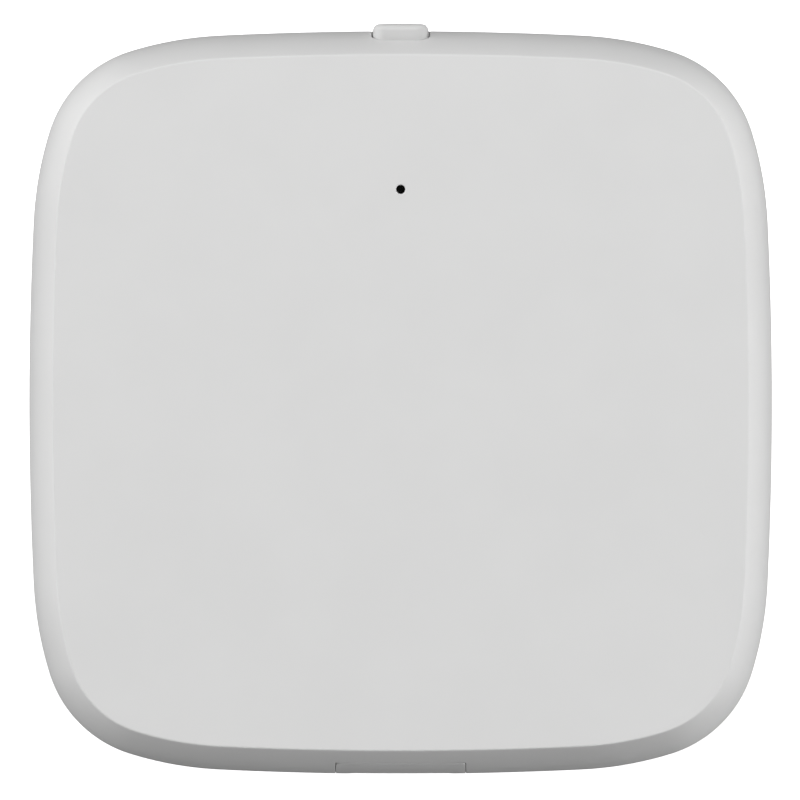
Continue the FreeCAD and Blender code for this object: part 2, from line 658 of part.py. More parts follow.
def make_port_bezel():
    """The insert is cut from the same outer shape as the cover, so it lies flush with it."""
    body = new_body("port_bezel")
    bottom = base_rim + d.bezel_gap
    case_form(body, bottom)
    behind = sketch_on(body, "behind", "XY_Plane", bottom)
    rectangle(behind, -BEYOND, BEYOND, d.bezel_inner_y, BEYOND)
    pocket(body, "behind_cut", behind, d.face_height, along_normal=True)
    around = sketch_on(body, "around", "XZ_Plane")
    rectangle(around, -BEYOND, BEYOND, -BEYOND, BEYOND)
    rounded_rectangle(around, -d.bezel_width / 2, d.bezel_width / 2, bottom, d.bezel_top,
                      d.bezel_corner)
    pocket(body, "around_cut", around, BEYOND, along_normal=True)

    flange = sketch_on(body, "flange", "XZ_Plane", -d.bezel_flange_y)
    rectangle(flange, -d.bezel_flange_width / 2, d.bezel_flange_width / 2, bottom,
              d.bezel_flange_top)
    pad(body, "flange_pad", flange, d.bezel_flange_thickness, against_normal=True)
    hole = sketch_on(body, "plug_hole", "XZ_Plane")
    stadium(hole, d.plug_hole_width, d.plug_hole_height, d.socket_z)
    pocket(body, "plug_hole_cut", hole, BEYOND, along_normal=True)

    def mouth(edge):
        box = edge.BoundBox
        near = box.ZMax < d.socket_z.value + d.plug_hole_height.value / 2 + 0.01
        return box.YMax < -d.half_width.value + 0.1 and near and box.ZMin > bottom.value + 0.5

    dress_edges(body, "Chamfer", "plug_lead_in", d.plug_hole_lead_in, mouth)
    return body


# ---------------------------------------------------------------- button and status light

def make_pair_button():
    body = new_body("pair_button")
    flange = sketch_on(body, "flange", "XZ_Plane", -d.flange_y)
    rectangle(flange, -d.flange_width / 2, d.flange_width / 2, d.button_z - d.flange_depth / 2,
              d.button_z + d.flange_depth / 2)
    pad(body, "flange_pad", flange, d.flange_thickness)
    cap = sketch_on(body, "cap", "XZ_Plane", -d.flange_y)
    rounded_rectangle(cap, -d.button_width / 2, d.button_width / 2,
                      d.button_z - d.button_depth / 2, d.button_z + d.button_depth / 2,
                      d.button_corner)
    pad(body, "cap_pad", cap, d.button_face_y - d.flange_y, against_normal=True)
    dress_edges(body, "Fillet", "cap_edge", d.button_edge, level_with("Y", d.button_face_y))
    stem = sketch_on(body, "stem", "XZ_Plane", -(d.flange_y - d.flange_thickness))
    circle(stem, ZERO, switch_z, d.stem_width)
    pad(body, "stem_pad", stem, d.flange_y - d.flange_thickness - d.stem_y)
    return body


def make_light_pipe():
    body = new_body("light_pipe")
    end = sketch_on(body, "guide_end", "XY_Plane", d.guide_bottom)
    circle(end, ZERO, d.pinhole_y, d.guide_width)
    pad(body, "guide", end, cover_ceiling - d.guide_fit - d.guide_bottom)
    dress_edges(body, "Chamfer", "guide_chamfer", d.guide_fit * 4,
                level_with("Z", d.guide_bottom))
    return body


# ---------------------------------------------------------------- board and what it carries

def make_main_board():
    body = new_body("main_board")
    edge = sketch_on(body, "board_outline", "XY_Plane", d.board_bottom)
    outline(edge, d.board_inset)
    pad(body, "board", edge, d.board_thickness)
    holes = sketch_on(body, "holes", "XY_Plane", d.board_bottom)
    for x, y in all_corners(d.board_screw_x, d.board_screw_y):
        circle(holes, x, y, d.board_screw_hole)
    for x, y in all_corners(d.case_screw_spot, d.case_screw_spot):
        circle(holes, x, y, d.case_boss_hole)
    half_metal = d.socket_metal / 2 + d.leg_slot_room
    half_leg = d.socket_leg_width / 2 + d.leg_slot_room
    for y in (d.socket_leg_front_y, d.socket_leg_back_y):
        for side in (-1, 1):
            x = (d.socket_width - d.socket_metal) * side / 2
            rectangle(holes, x - half_metal, x + half_metal, y - half_leg, y + half_leg)
    pocket(body, "hole_cuts", holes, d.board_thickness, along_normal=True)
    notch = sketch_on(body, "button_notch", "XY_Plane", d.board_bottom)
    rectangle(notch, -d.notch_width / 2, d.notch_width / 2, d.notch_y, BEYOND)
    pocket(body, "button_notch_cut", notch, d.board_thickness, along_normal=True)
    return body


def make_switch():
    """Side-push switch: plastic body, metal frame, snap dome and plunger."""
    half = d.switch_size / 2
    housing = new_body("switch_body")
    front = sketch_on(housing, "front", "XZ_Plane", -d.switch_front_y)
    rectangle(front, -half, half, board_top, board_top + d.switch_size)
    pad(housing, "housing", front, d.switch_thickness)
    well = sketch_on(housing, "well", "XZ_Plane", -(d.switch_front_y - d.switch_well_depth))
    circle(well, ZERO, switch_z, d.switch_well)
    pocket(housing, "well_cut", well, d.switch_well_depth)

    frame = new_body("switch_frame")
    frame_front_y = d.switch_front_y + d.frame_gap + d.frame_metal
    plate = sketch_on(frame, "plate", "XZ_Plane", -frame_front_y)
    half_outside = half + d.frame_gap + d.frame_metal
    rectangle(plate, -half_outside, half_outside, board_top, board_top + d.switch_size)
    pad(frame, "plate_pad", plate, d.frame_arm)
    inside = sketch_on(frame, "inside", "XZ_Plane", -(frame_front_y - d.frame_arm))
    half_inside = half + d.frame_gap
    rectangle(inside, -half_inside, half_inside, ZERO, BEYOND)
    pocket(frame, "inside_cut", inside, d.frame_arm - d.frame_metal)
    hole = sketch_on(frame, "hole", "XZ_Plane", -(frame_front_y - d.frame_arm))
    circle(hole, ZERO, switch_z, d.frame_hole)
    pocket(frame, "hole_cut", hole, d.frame_arm)

    plunger = new_body("switch_plunger")
    seat = sketch_on(plunger, "seat", "XZ_Plane", -d.plunger_flange_y)
    circle(seat, ZERO, switch_z, d.plunger_flange_width)
    pad(plunger, "seat_pad", seat, d.plunger_flange_thickness)
    rod = sketch_on(plunger, "rod", "XZ_Plane", -d.plunger_flange_y)
    circle(rod, ZERO, switch_z, d.plunger_width)
    pad(plunger, "rod_pad", rod, d.plunger_tip_y - d.plunger_flange_y, against_normal=True)
    dress_edges(plunger, "Fillet", "rod_end", d.plunger_edge, level_with("Y", d.plunger_tip_y))
    return [housing, frame, make_switch_dome(), plunger]


def make_switch_dome():
    """A thin cap of a hollow ball, domed towards the plunger."""
    well_floor = d.switch_front_y - d.switch_well_depth
    half = d.dome_width / 2
    ball_radius = (half * half + d.dome_height * d.dome_height) * (0.5 / d.dome_height.value)
    balls = []
    for name, radius in (("dome_outside", ball_radius), ("dome_inside", ball_radius - d.dome_metal)):
        ball = doc.addObject("Part::Sphere", name)
        bind(ball, "Radius", radius)
        bind(ball, "Placement.Base.y", well_floor + d.dome_height - ball_radius)
        bind(ball, "Placement.Base.z", switch_z)
        balls.append(ball)
    hollow = doc.addObject("Part::Cut", "dome_hollow")
    hollow.Base, hollow.Tool = balls
    reach = doc.addObject("Part::Cylinder", "dome_reach")
    bind(reach, "Radius", half)
    bind(reach, "Height", d.dome_height * 2)
    reach.Placement = FreeCAD.Placement(Vector(), FreeCAD.Rotation(Vector(1, 0, 0), -90))
    bind(reach, "Placement.Base.y", well_floor)
    bind(reach, "Placement.Base.z", switch_z)
    dome = doc.addObject("Part::Common", "switch_dome")
    dome.Base, dome.Tool = hollow, reach
    return dome


def make_socket():
    """Power socket: a metal shell on four legs, a plastic tongue and its contacts."""
    shell = new_body("usb_shell")
    mouth = sketch_on(shell, "mouth", "XZ_Plane", -d.socket_mouth_y)
    stadium(mouth, d.socket_width, d.socket_height, d.socket_z)
    pad(shell, "tube", mouth, d.socket_length, against_normal=True)
    bore = sketch_on(shell, "bore", "XZ_Plane", -d.socket_mouth_y)
    inner_width = d.socket_width - d.socket_metal * 2
    inner_height = d.socket_height - d.socket_metal * 2
    stadium(bore, inner_width, inner_height, d.socket_z)
    pocket(shell, "bore_cut", bore, d.socket_length)
    legs = sketch_on(shell, "legs", "XY_Plane", d.socket_z)
    for y in (d.socket_leg_front_y, d.socket_leg_back_y):
        for side in (-1, 1):
            x = (d.socket_width - d.socket_metal) * side / 2
            rectangle(legs, x - d.socket_metal / 2, x + d.socket_metal / 2,
                      y - d.socket_leg_width / 2, y + d.socket_leg_width / 2)
    pad(shell, "leg_pads", legs, d.socket_z - d.socket_leg_end, against_normal=True)

    tongue = new_body("usb_tongue")
    block_front_y = d.socket_mouth_y + d.socket_length - d.tongue_block
    back = sketch_on(tongue, "back", "XZ_Plane", -block_front_y)
    stadium(back, inner_width - d.guide_fit, inner_height - d.guide_fit, d.socket_z)
    pad(tongue, "back_block", back, d.tongue_block, against_normal=True)
    blade = sketch_on(tongue, "blade", "XZ_Plane", -block_front_y)
    rectangle(blade, -d.tongue_width / 2, d.tongue_width / 2, d.socket_z - d.tongue_thickness / 2,
              d.socket_z + d.tongue_thickness / 2)
    pad(tongue, "blade_pad", blade, block_front_y - d.tongue_end_y)

    strips = []
    levels = (d.socket_z + d.tongue_thickness / 2,
              d.socket_z - d.tongue_thickness / 2 - d.contact_metal)
    for bottom in levels:
        for step in range(12):
            strips.append(block("contact", d.contact_pitch * (step - 5.5),
                                d.contact_start_y + d.contact_length / 2, bottom,
                                d.contact_width, d.contact_length, d.contact_metal))
    return [shell, tongue, group("usb_contacts", strips)]


def make_radio_module(name, side, length):
    """A small board with a shield can over all but its antenna end."""
    x = d.module_x * side
    board = block(f"{name}_module_board", x, d.module_y + length / 2, board_top, d.module_width,
                  length, d.module_board_thickness)
    can = new_body(f"{name}_module_shield")
    bottom = board_top + d.module_board_thickness
    outside = sketch_on(can, "outside", "XY_Plane", bottom)
    inside = sketch_on(can, "inside", "XY_Plane", bottom)
    metal = d.shield_metal
    for sketch, shrink in ((outside, d.shield_margin), (inside, d.shield_margin + metal)):
        half = d.module_width / 2 - shrink
        rounded_rectangle(sketch, x - half, x + half, d.module_y + shrink,
                          d.module_y + length - d.antenna_length - shrink,
                          d.shield_corner - (shrink - d.shield_margin))
    pad(can, "can", outside, d.shield_height)
    dress_edges(can, "Fillet", "can_edge", metal, level_with("Z", bottom + d.shield_height))
    pocket(can, "can_inside", inside, d.shield_height - metal, along_normal=True)
    return [board, can]


def make_leaded_chip(label, kind, lead_count):
    """A moulded chip with a row of flat leads along each long side."""
    length, width, height, pitch, y = (getattr(d, f"{kind}_{name}") for name in
                                       ("length", "width", "height", "pitch", "y"))
    pieces = [block("moulding", ZERO, y, board_top, length, width, height)]
    for side in (-1, 1):
        for step in range(lead_count):
            pieces.append(block("lead", pitch * (step - (lead_count - 1) / 2),
                                y + (width + d.lead_length) * side / 2, board_top,
                                d.lead_width, d.lead_length, d.lead_metal))
    return group(label, pieces)


def make_small_parts(label, spots, length, width, height):
    members = []
    for x, y, along_y in spots:
        reach = (width, length) if along_y else (length, width)
        members.append(block("chip", x, y, board_top, reach[0], reach[1], height))
    return group(label, members)


def make_board_parts():
    led = block("status_led", 0.0, d.pinhole_y, board_top, d.led_length, d.led_width, d.led_height)

    inductor = new_body("power_inductor")
    core = sketch_on(inductor, "core", "XY_Plane", board_top)
    half = d.inductor_size / 2
    rounded_rectangle(core, d.inductor_x - half, d.inductor_x + half, d.inductor_y - half,
                      d.inductor_y + half, d.inductor_corner)
    pad(inductor, "core_pad", core, d.inductor_height)

    can_base = block("capacitor_base", d.can_x, d.can_y, board_top, d.can_base_size, d.can_base_size,
                     d.can_base_height)
    can = new_body("capacitor_can")
    bottom = board_top + d.can_base_height
    foot = sketch_on(can, "foot", "XY_Plane", bottom)
    circle(foot, d.can_x, d.can_y, d.can_width)
    pad(can, "can_pad", foot, d.can_height)
    dress_edges(can, "Fillet", "can_top", d.can_edge, level_with("Z", bottom + d.can_height))

    crystal = new_body("crystal")
    lid = sketch_on(crystal, "lid", "XY_Plane", board_top)
    half_long = d.crystal_length / 2
    half_wide = d.crystal_width / 2
    rounded_rectangle(lid, -half_long, half_long, d.crystal_y - half_wide,
                      d.crystal_y + half_wide, d.crystal_corner)
    pad(crystal, "lid_pad", lid, d.crystal_height)

    return [led, inductor, can_base, can, crystal,
            make_leaded_chip("voltage_regulator", "regulator", 3),
            make_leaded_chip("flash_chip", "flash", 4),
            make_small_parts("ceramic_capacitors", CAPACITOR_SPOTS, d.capacitor_length,
                             d.capacitor_width, d.capacitor_width),
            make_small_parts("resistors", RESISTOR_SPOTS, d.resistor_length, d.resistor_width,
                             d.resistor_height)]


# ---------------------------------------------------------------- screws, feet and label

def make_screws(label, spots, seat, shank, head):
    """Pan-head screws that point up: shank and head are each a width and a length."""
    screws = []
    for x, y in spots:
        body = new_body(f"{label}_one")
        top = sketch_on(body, "head", "XY_Plane")
        circle(top, ZERO, ZERO, head[0])
        pad(body, "head_pad", top, head[1], against_normal=True)
        dress_edges(body, "Fillet", "head_edge", d.head_round, level_with("Z", -head[1]))
        for name, wide, long in (("slot", d.driver_reach, d.driver_slot),
                                 ("cross_slot", d.driver_slot, d.driver_reach)):
            slot = sketch_on(body, name, "XY_Plane", -head[1])
            rectangle(slot, -wide / 2, wide / 2, -long / 2, long / 2)
            pocket(body, f"{name}_cut", slot, d.driver_depth, along_normal=True)
        rod = sketch_on(body, "shank", "XY_Plane")
        circle(rod, ZERO, ZERO, shank[0])
        pad(body, "shank_pad", rod, shank[1])
        for axis, size in (("x", x), ("y", y), ("z", seat)):
            bind(body, f"Placement.Base.{axis}", size)
        screws.append(body)
    return group(label, screws)


def make_rubber_feet():
    feet = []
    for across, left_right in ((-1, "left"), (1, "right")):
        for along, end in ((-1, "socket"), (1, "button")):
            body = new_body(f"rubber_foot_{end}_{left_right}")
            tread = sketch_on(body, "tread", "XY_Plane")
            circle(tread, d.case_screw_spot * across, d.case_screw_spot * along, d.foot_width)
            pad(body, "foot", tread, d.underside_height + d.foot_recess_depth)
            dress_edges(body, "Fillet", "foot_edge", d.foot_edge_radius, level_with("Z", ZERO))
            feet.append(body)
    return feet


def make_rating_label():
    body = new_body("rating_label")
    recess_top = d.underside_height + d.label_recess_depth
    face = sketch_on(body, "label_face", "XY_Plane", recess_top)
    rounded_rectangle(face, -d.label_length / 2, d.label_length / 2, -d.label_width / 2,
                      d.label_width / 2, d.label_corner)
    pad(body, "label", face, d.label_thickness, against_normal=True)
    return body


def make_everything():
    return [make_front_cover(), make_base_cover(), make_port_bezel(), make_pair_button(),
            make_light_pipe(), make_main_board(), *make_switch(), *make_socket(),
            *make_radio_module("wifi", -1, d.wifi_length),
            *make_radio_module("mesh", 1, d.mesh_length), *make_board_parts(),
            make_screws("board_screws", all_corners(d.board_screw_x, d.board_screw_y),
                        d.board_bottom, (d.board_screw_width, d.board_screw_length),
                        (d.board_screw_head, d.board_screw_head_height)),
            make_screws("case_screws", all_corners(d.case_screw_spot, d.case_screw_spot),
                        d.screw_seat, (d.case_screw_width, d.case_screw_length),
                        (d.case_screw_head, d.case_screw_head_height)),
            *make_rubber_feet(), make_rating_label()]


def check(parts):
    """Stop if any object failed, or if a piece has no valid shape."""
    for item in doc.Objects:
        if "Invalid" in item.State or "Error" in item.State:
            raise RuntimeError(f"{item.Name} ({item.Label}) failed: {item.State}")
        if item.TypeId == "Sketcher::SketchObject" and not item.FullyConstrained:
            raise RuntimeError(f"{item.Name} in {item.getParentGeoFeatureGroup().Label} is loose")
    for part in parts:
        if part.Shape.isNull() or not part.Shape.isValid() or part.Shape.Volume <= 0:
            raise RuntimeError(f"{part.Label} has no valid shape")


parts = make_everything()
doc.recompute()
check(parts)
os.makedirs("parts", exist_ok=True)
for part in parts:
    part.Shape.exportStep(os.path.join("parts", f"{part.Label}.step"))
    print(f"{part.Label:24s} {len(part.Shape.Solids):3d} solids {part.Shape.Volume:10.2f} mm3")
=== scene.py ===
# A square smart home hub, lying flat with its face up. The file follows the hub as it is put
# together: the two shells, the insert and button, the circuit board and its parts, and last the
# studio that it stands in. Lengths are in metres.
import math

import bmesh
import bpy
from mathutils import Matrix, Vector


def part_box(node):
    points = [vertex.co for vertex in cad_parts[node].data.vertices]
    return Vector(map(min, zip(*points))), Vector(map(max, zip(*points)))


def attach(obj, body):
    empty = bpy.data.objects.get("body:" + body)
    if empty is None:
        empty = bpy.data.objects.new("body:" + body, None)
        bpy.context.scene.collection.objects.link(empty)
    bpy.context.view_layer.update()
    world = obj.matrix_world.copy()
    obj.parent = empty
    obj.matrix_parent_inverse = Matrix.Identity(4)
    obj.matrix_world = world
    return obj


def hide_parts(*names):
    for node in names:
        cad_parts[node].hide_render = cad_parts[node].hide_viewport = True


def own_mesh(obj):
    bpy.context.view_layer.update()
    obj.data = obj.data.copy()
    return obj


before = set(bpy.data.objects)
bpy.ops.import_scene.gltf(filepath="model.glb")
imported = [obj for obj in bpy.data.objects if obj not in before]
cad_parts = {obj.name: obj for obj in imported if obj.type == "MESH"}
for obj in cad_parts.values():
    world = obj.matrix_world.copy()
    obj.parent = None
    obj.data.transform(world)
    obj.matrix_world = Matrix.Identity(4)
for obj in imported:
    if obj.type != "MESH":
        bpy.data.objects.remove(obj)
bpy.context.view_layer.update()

# ------------------------------------------------------------------------------ front cover
# The upper shell, injection-moulded from light grey ABS in a mould with a fine matt grain. A
# curved band runs round the flat face, and bosses hang from the ceiling for the board's screws
# and the case screws. It has openings for the button, the socket's insert and the light.

mm = 0.001
cover_low, cover_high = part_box("front_cover")
half_width = cover_high.x
face_height = cover_high.z
side_bow = 332.6 * mm            # radius of each side, which is almost straight
shoulder_radius = 31.45 * mm     # arc that leads from a side into a corner
corner_radius = 10.68 * mm
corner_centre = half_width - 11.96 * mm
band_radius = 10.0 * mm          # arc of the band, from the wall up to the face
band_width = 2.1 * mm
face_edge_radius = 0.25 * mm     # softened edge between the band and the face
wall = 1.8 * mm
inner_radius = 3.0 * mm
rim_radius = 0.16 * mm
rebate_inset = 0.95 * mm
rebate_depth = 1.9 * mm
band_centre = face_height - math.sqrt(band_radius ** 2 - (band_radius - band_width) ** 2)
ceiling = face_height - wall


def case_stations():
    """Places round the case, clockwise from above: an arc's centre, its radius, the way out."""
    side = Vector((0, half_width - side_bow))
    corner = Vector((corner_centre, corner_centre))
    from_side = side_bow - shoulder_radius
    apart = (corner - side).length
    along = (from_side ** 2 - (shoulder_radius - corner_radius) ** 2 + apart ** 2) / (2 * apart)
    across = math.sqrt(from_side ** 2 - along ** 2)
    ahead = (corner - side) / apart
    shoulder = side + ahead * along + Vector((-ahead.y, ahead.x)) * across
    side_end = math.atan2(shoulder.x - side.x, shoulder.y - side.y)
    corner_start = math.atan2(corner.x - shoulder.x, corner.y - shoulder.y)
    eighth = []
    for centre, radius, start, end, steps in (
            (side, side_bow, 0.0, side_end, 20),
            (shoulder, shoulder_radius, side_end, corner_start, 10),
            (corner, corner_radius, corner_start, math.pi / 4, 12)):
        for step in range(steps):
            angle = start + (end - start) * step / steps
            eighth.append((centre, radius, Vector((math.sin(angle), math.cos(angle)))))
    middle = (corner, corner_radius, Vector((1, 1)).normalized())
    mirrored = [(centre.yx, radius, out.yx) for centre, radius, out in reversed(eighth[1:])]
    quarter = eighth + [middle] + mirrored
    stations = []
    for turn in range(4):
        for centre, radius, out in quarter:
            for _ in range(turn):
                centre, out = Vector((centre.y, -centre.x)), Vector((out.y, -out.x))
            stations.append((centre, radius, out))
    return stations


stations = case_stations()


def case_ring(inset, height):
    """The case's outline, drawn in by inset and set at a height."""
    return [(*(centre + out * (radius - inset)), height) for centre, radius, out in stations]


def arc_steps(start, end, steps):
    """Sine and cosine of evenly spaced angles, both ends included."""
    angles = [start + (end - start) * step / steps for step in range(steps + 1)]
    return [(math.sin(angle), math.cos(angle)) for angle in angles]


def band_profile():
    """Inset and height from the foot of the band, round the softened edge, to the flat face."""
    reach = band_radius - face_edge_radius
    edge_height = face_height - face_edge_radius
    edge_start = math.asin((edge_height - band_centre) / reach)
    edge_inset = band_radius - reach * math.cos(edge_start)
    points = [(band_radius * (1 - c), band_centre + band_radius * s)
              for s, c in arc_steps(0, edge_start, 22)]
    points += [(edge_inset - face_edge_radius * c, edge_height + face_edge_radius * s)
               for s, c in arc_steps(edge_start, math.pi / 2, 7)[1:]]
    return points


def closed_mesh(name, points, faces):
    """A new piece from points and faces, its faces turned outwards."""
    mesh = bpy.data.meshes.new(name)
    mesh.from_pydata(points, [], faces)
    work = bmesh.new()
    work.from_mesh(mesh)
    bmesh.ops.recalc_face_normals(work, faces=work.faces)
    work.to_mesh(mesh)
    work.free()
    piece = bpy.data.objects.new(name, mesh)
    bpy.context.scene.collection.objects.link(piece)
    return piece


def skin(name, rings):
    """A closed mesh through rings with equally many points, with a cap at each end."""
    count = len(rings[0])
    faces = [tuple(range(count)), tuple(range(len(rings) * count - count, len(rings) * count))]
    for row in range(0, (len(rings) - 1) * count, count):
        for step in range(count):
            after = (step + 1) % count
            faces.append((row + step, row + after, row + count + after, row + count + step))
    return closed_mesh(name, [point for ring in rings for point in ring], faces)


def turned(name, x, y, profile, steps=48):
    """A round piece on an upright axis at x and y, from its profile of radius and height."""
    angles = [math.tau * step / steps for step in range(steps)]
    return skin(name, [[(x + radius * math.cos(a), y + radius * math.sin(a), height)
                        for a in angles] for radius, height in profile])


def joined(piece, tools, operation):
    """Cut tools out of a piece or weld them to it, and leave one clean mesh."""
    for tool in tools:
        step = piece.modifiers.new(operation, "BOOLEAN")
        step.operation = operation
        step.solver = "EXACT"
        step.object = tool
        shaped = bpy.data.meshes.new_from_object(
            piece.evaluated_get(bpy.context.evaluated_depsgraph_get()))
        piece.modifiers.clear()
        work = bmesh.new()
        work.from_mesh(shaped)
        bmesh.ops.remove_doubles(work, verts=work.verts, dist=0.0002 * mm)
        work.to_mesh(shaped)
        work.free()
        old = piece.data
        piece.data = shaped
        bpy.data.meshes.remove(old)
        bpy.data.objects.remove(tool)
    return piece


def rounded_box(half_wide, half_tall, radius, grow=0.0, steps=8, along=1):
    """A rounded rectangle about the origin, spread outwards by grow, its sides cut along times."""
    flat_wide = half_wide - radius
    flat_tall = half_tall - radius
    points = []
    for number, (side_x, side_z) in enumerate(((1, 1), (-1, 1), (-1, -1), (1, -1))):
        start = number * math.pi / 2
        for s, c in arc_steps(start, start + math.pi / 2, steps):
            points.append((side_x * flat_wide + (radius + grow) * c,
                           side_z * flat_tall + (radius + grow) * s))
        ahead = (-2 * flat_wide, 0) if number % 2 == 0 else (0, -2 * flat_tall)
        turn = 1 if number < 2 else -1
        x, z = points[-1]
        for step in range(1, along):
            share = turn * step / along
            points.append((x + ahead[0] * share, z + ahead[1] * share))
    return points


def wall_inset(height):
    """How far the band has curved in from the wall at a height."""
    rise = max(0.0, height - band_centre)
    return band_radius - math.sqrt(band_radius ** 2 - rise ** 2)


def wall_reach(x, height):
    """How far out the case's surface stands at a height, near the middle of a side."""
    return half_width - side_bow + math.sqrt((side_bow - wall_inset(height)) ** 2 - x ** 2)


def opening_tool(name, side, outline_at, middle, inner, lip):
    """What is cut through a side wall: straight, with a small bevel where it meets the surface."""
    rings = []
    just_outside = 0.02 * mm
    for grow, depth in ((0.0, None), (0.0, -lip), (lip, just_outside), (lip, 3 * mm)):
        ring = []
        for x, up in outline_at(grow):
            height = middle + up
            reach = inner if depth is None else wall_reach(x, height) + depth
            ring.append((x, side * reach, height))
        rings.append(ring)
    return skin(name, rings)


crease_angle = math.radians(32)


def finish_mesh(piece, *materials):
    """Smooth shading with true edges kept, and the piece's materials."""
    mesh = piece.data
    mesh.polygons.foreach_set("use_smooth", [True] * len(mesh.polygons))
    mesh.set_sharp_from_angle(angle=crease_angle)
    weighted = piece.modifiers.new("flat_faces_stay_flat", "WEIGHTED_NORMAL")
    weighted.keep_sharp = True
    mesh.materials.clear()
    for material in materials:
        mesh.materials.append(material)


def new_material(name):
    """A new material, with its nodes, its links and its shader to hand."""
    material = bpy.data.materials.new(name)
    material.use_nodes = True
    nodes = material.node_tree.nodes
    return material, nodes, material.node_tree.links, nodes["Principled BSDF"]


def add_noise(nodes, links, size, detail=2.0, stretch=(1, 1, 1)):
    """Noise whose blotches are about size across, fixed to the piece."""
    place = nodes.new("ShaderNodeTexCoord")
    spread = nodes.new("ShaderNodeMapping")
    spread.inputs["Scale"].default_value = stretch
    links.new(place.outputs["Object"], spread.inputs["Vector"])
    noise = nodes.new("ShaderNodeTexNoise")
    noise.inputs["Scale"].default_value = 1 / size
    noise.inputs["Detail"].default_value = detail
    links.new(spread.outputs["Vector"], noise.inputs["Vector"])
    return noise.outputs["Fac"]


def add_ramp(nodes, links, value, low, high, start=0.35, end=0.65):
    """Turn a value into a colour or a grey between low and high."""
    ramp = nodes.new("ShaderNodeValToRGB")
    for stop, place, tone in zip(ramp.color_ramp.elements, (start, end), (low, high)):
        stop.position = place
        stop.color = (*tone, 1) if hasattr(tone, "__len__") else (tone, tone, tone, 1)
    links.new(value, ramp.inputs["Fac"])
    return ramp.outputs["Color"]


def mottle(nodes, links, socket, size, low, high, **noise):
    """Let noise move a shader's socket between low and high."""
    links.new(add_ramp(nodes, links, add_noise(nodes, links, size, **noise), low, high), socket)


def add_relief(nodes, links, shader, value, depth, strength):
    """Raise the surface where a value is high."""
    bump = nodes.new("ShaderNodeBump")
    bump.inputs["Distance"].default_value = depth
    bump.inputs["Strength"].default_value = strength
    links.new(value, bump.inputs["Height"])
    links.new(bump.outputs["Normal"], shader.inputs["Normal"])


def moulded_plastic(name, colour, roughness=0.55, grain=0.16 * mm, depth=0.004 * mm,
                    variation=0.008):
    """Moulded plastic: a fine matt grain, faint clouding of the colour, uneven sheen."""
    material, nodes, links, shader = new_material(name)
    low = [c * (1 - variation) for c in colour]
    high = [c * (1 + variation) for c in colour]
    mottle(nodes, links, shader.inputs["Base Color"], 7 * mm, low, high, detail=4.0)
    mottle(nodes, links, shader.inputs["Roughness"], 1.3 * mm,
           roughness - 0.04, roughness + 0.04, detail=3.0)
    add_relief(nodes, links, shader, add_noise(nodes, links, grain, detail=3.0), depth, 0.6)
    shader.inputs["Specular IOR Level"].default_value = 0.3
    return material


case_colour = (0.640, 0.640, 0.638)
case_plastic = moulded_plastic("case_plastic", case_colour)

cover_profile = [(wall + inner_radius * (1 - c), ceiling - inner_radius * (1 - s))
                 for s, c in arc_steps(math.pi / 2, 0, 8)]
cover_profile += [(wall, cover_low.z + rebate_depth), (rebate_inset, cover_low.z + rebate_depth),
                  (rebate_inset, cover_low.z)]
cover_profile += [(rim_radius * (1 - c), cover_low.z + rim_radius * (1 - s))
                  for s, c in arc_steps(math.pi / 2, 0, 4)]
cover_profile += band_profile()
front_cover = skin("front_cover_shell", [case_ring(*place) for place in cover_profile])

board_low, board_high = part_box("main_board")
light_low, light_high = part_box("light_pipe")
light_x = (light_low.x + light_high.x) / 2
light_y = (light_low.y + light_high.y) / 2
screws_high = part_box("board_screws")[1]
head_radius = 1.8 * mm
board_screw_x = screws_high.x - head_radius
board_screw_y = screws_high.y - head_radius
corner_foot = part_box("rubber_foot_button_right")
case_screw = corner_foot[0].lerp(corner_foot[1], 0.5).x
weld_depth = 0.45 * mm           # how far a boss or post runs into its shell
boss_bevel = 0.2 * mm
board_pilot_top = 14 * mm
case_boss_bottom = 6.7 * mm
case_pilot_top = 13 * mm
guide_socket_bottom = 12.2 * mm
guide_fit = 0.05 * mm
boss_tools = []
pilot_tools = []


def four_corners(x, y):
    """The same place in each quarter of the hub."""
    return [(x * across, y * along) for across in (-1, 1) for along in (-1, 1)]


for spots, boss_radius, bottom, hole_radius, hole_top in (
        (four_corners(board_screw_x, board_screw_y), 2.3 * mm, board_high.z,
         1.0 * mm, board_pilot_top),
        (four_corners(case_screw, case_screw), 2.6 * mm, case_boss_bottom,
         1.1 * mm, case_pilot_top),
        ([(light_x, light_y)], 2.3 * mm, guide_socket_bottom,
         light_high.x + guide_fit, ceiling)):
    for x, y in spots:
        boss_tools.append(turned("boss", x, y, [
            (boss_radius - boss_bevel, bottom), (boss_radius, bottom + boss_bevel),
            (boss_radius, ceiling + weld_depth)]))
        pilot_tools.append(turned("pilot", x, y, [
            (hole_radius, bottom - mm), (hole_radius, hole_top)]))
joined(front_cover, boss_tools, "UNION")

button_low, button_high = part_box("pair_button")
button_middle = (button_low.z + button_high.z) / 2
button_half_wide = 2.43 * mm
button_half_tall = 3.04 * mm
button_corner = 1.0 * mm
button_gap = 0.12 * mm
button_room = 25.7 * mm          # where the space behind the opening begins
flange_room = 0.35 * mm
bezel_low, bezel_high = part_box("port_bezel")
bezel_half_wide = 5.65 * mm
bezel_gap = 0.06 * mm
bezel_lip = 0.04 * mm
notch_top = bezel_high.z + bezel_gap
notch_corner = 0.25 * mm
notch_inner = 29.9 * mm          # where the notch opens into the case
pinhole_radius = 0.4 * mm
lip = 0.07 * mm

recess_half_wide = button_high.x + flange_room
recess_bottom = button_low.z - flange_room
recess = [[(x, y, z) for x, z in ((recess_half_wide, recess_bottom), (recess_half_wide, ceiling),
                                  (-recess_half_wide, ceiling),
                                  (-recess_half_wide, recess_bottom))]
          for y in (button_room, half_width - wall)]


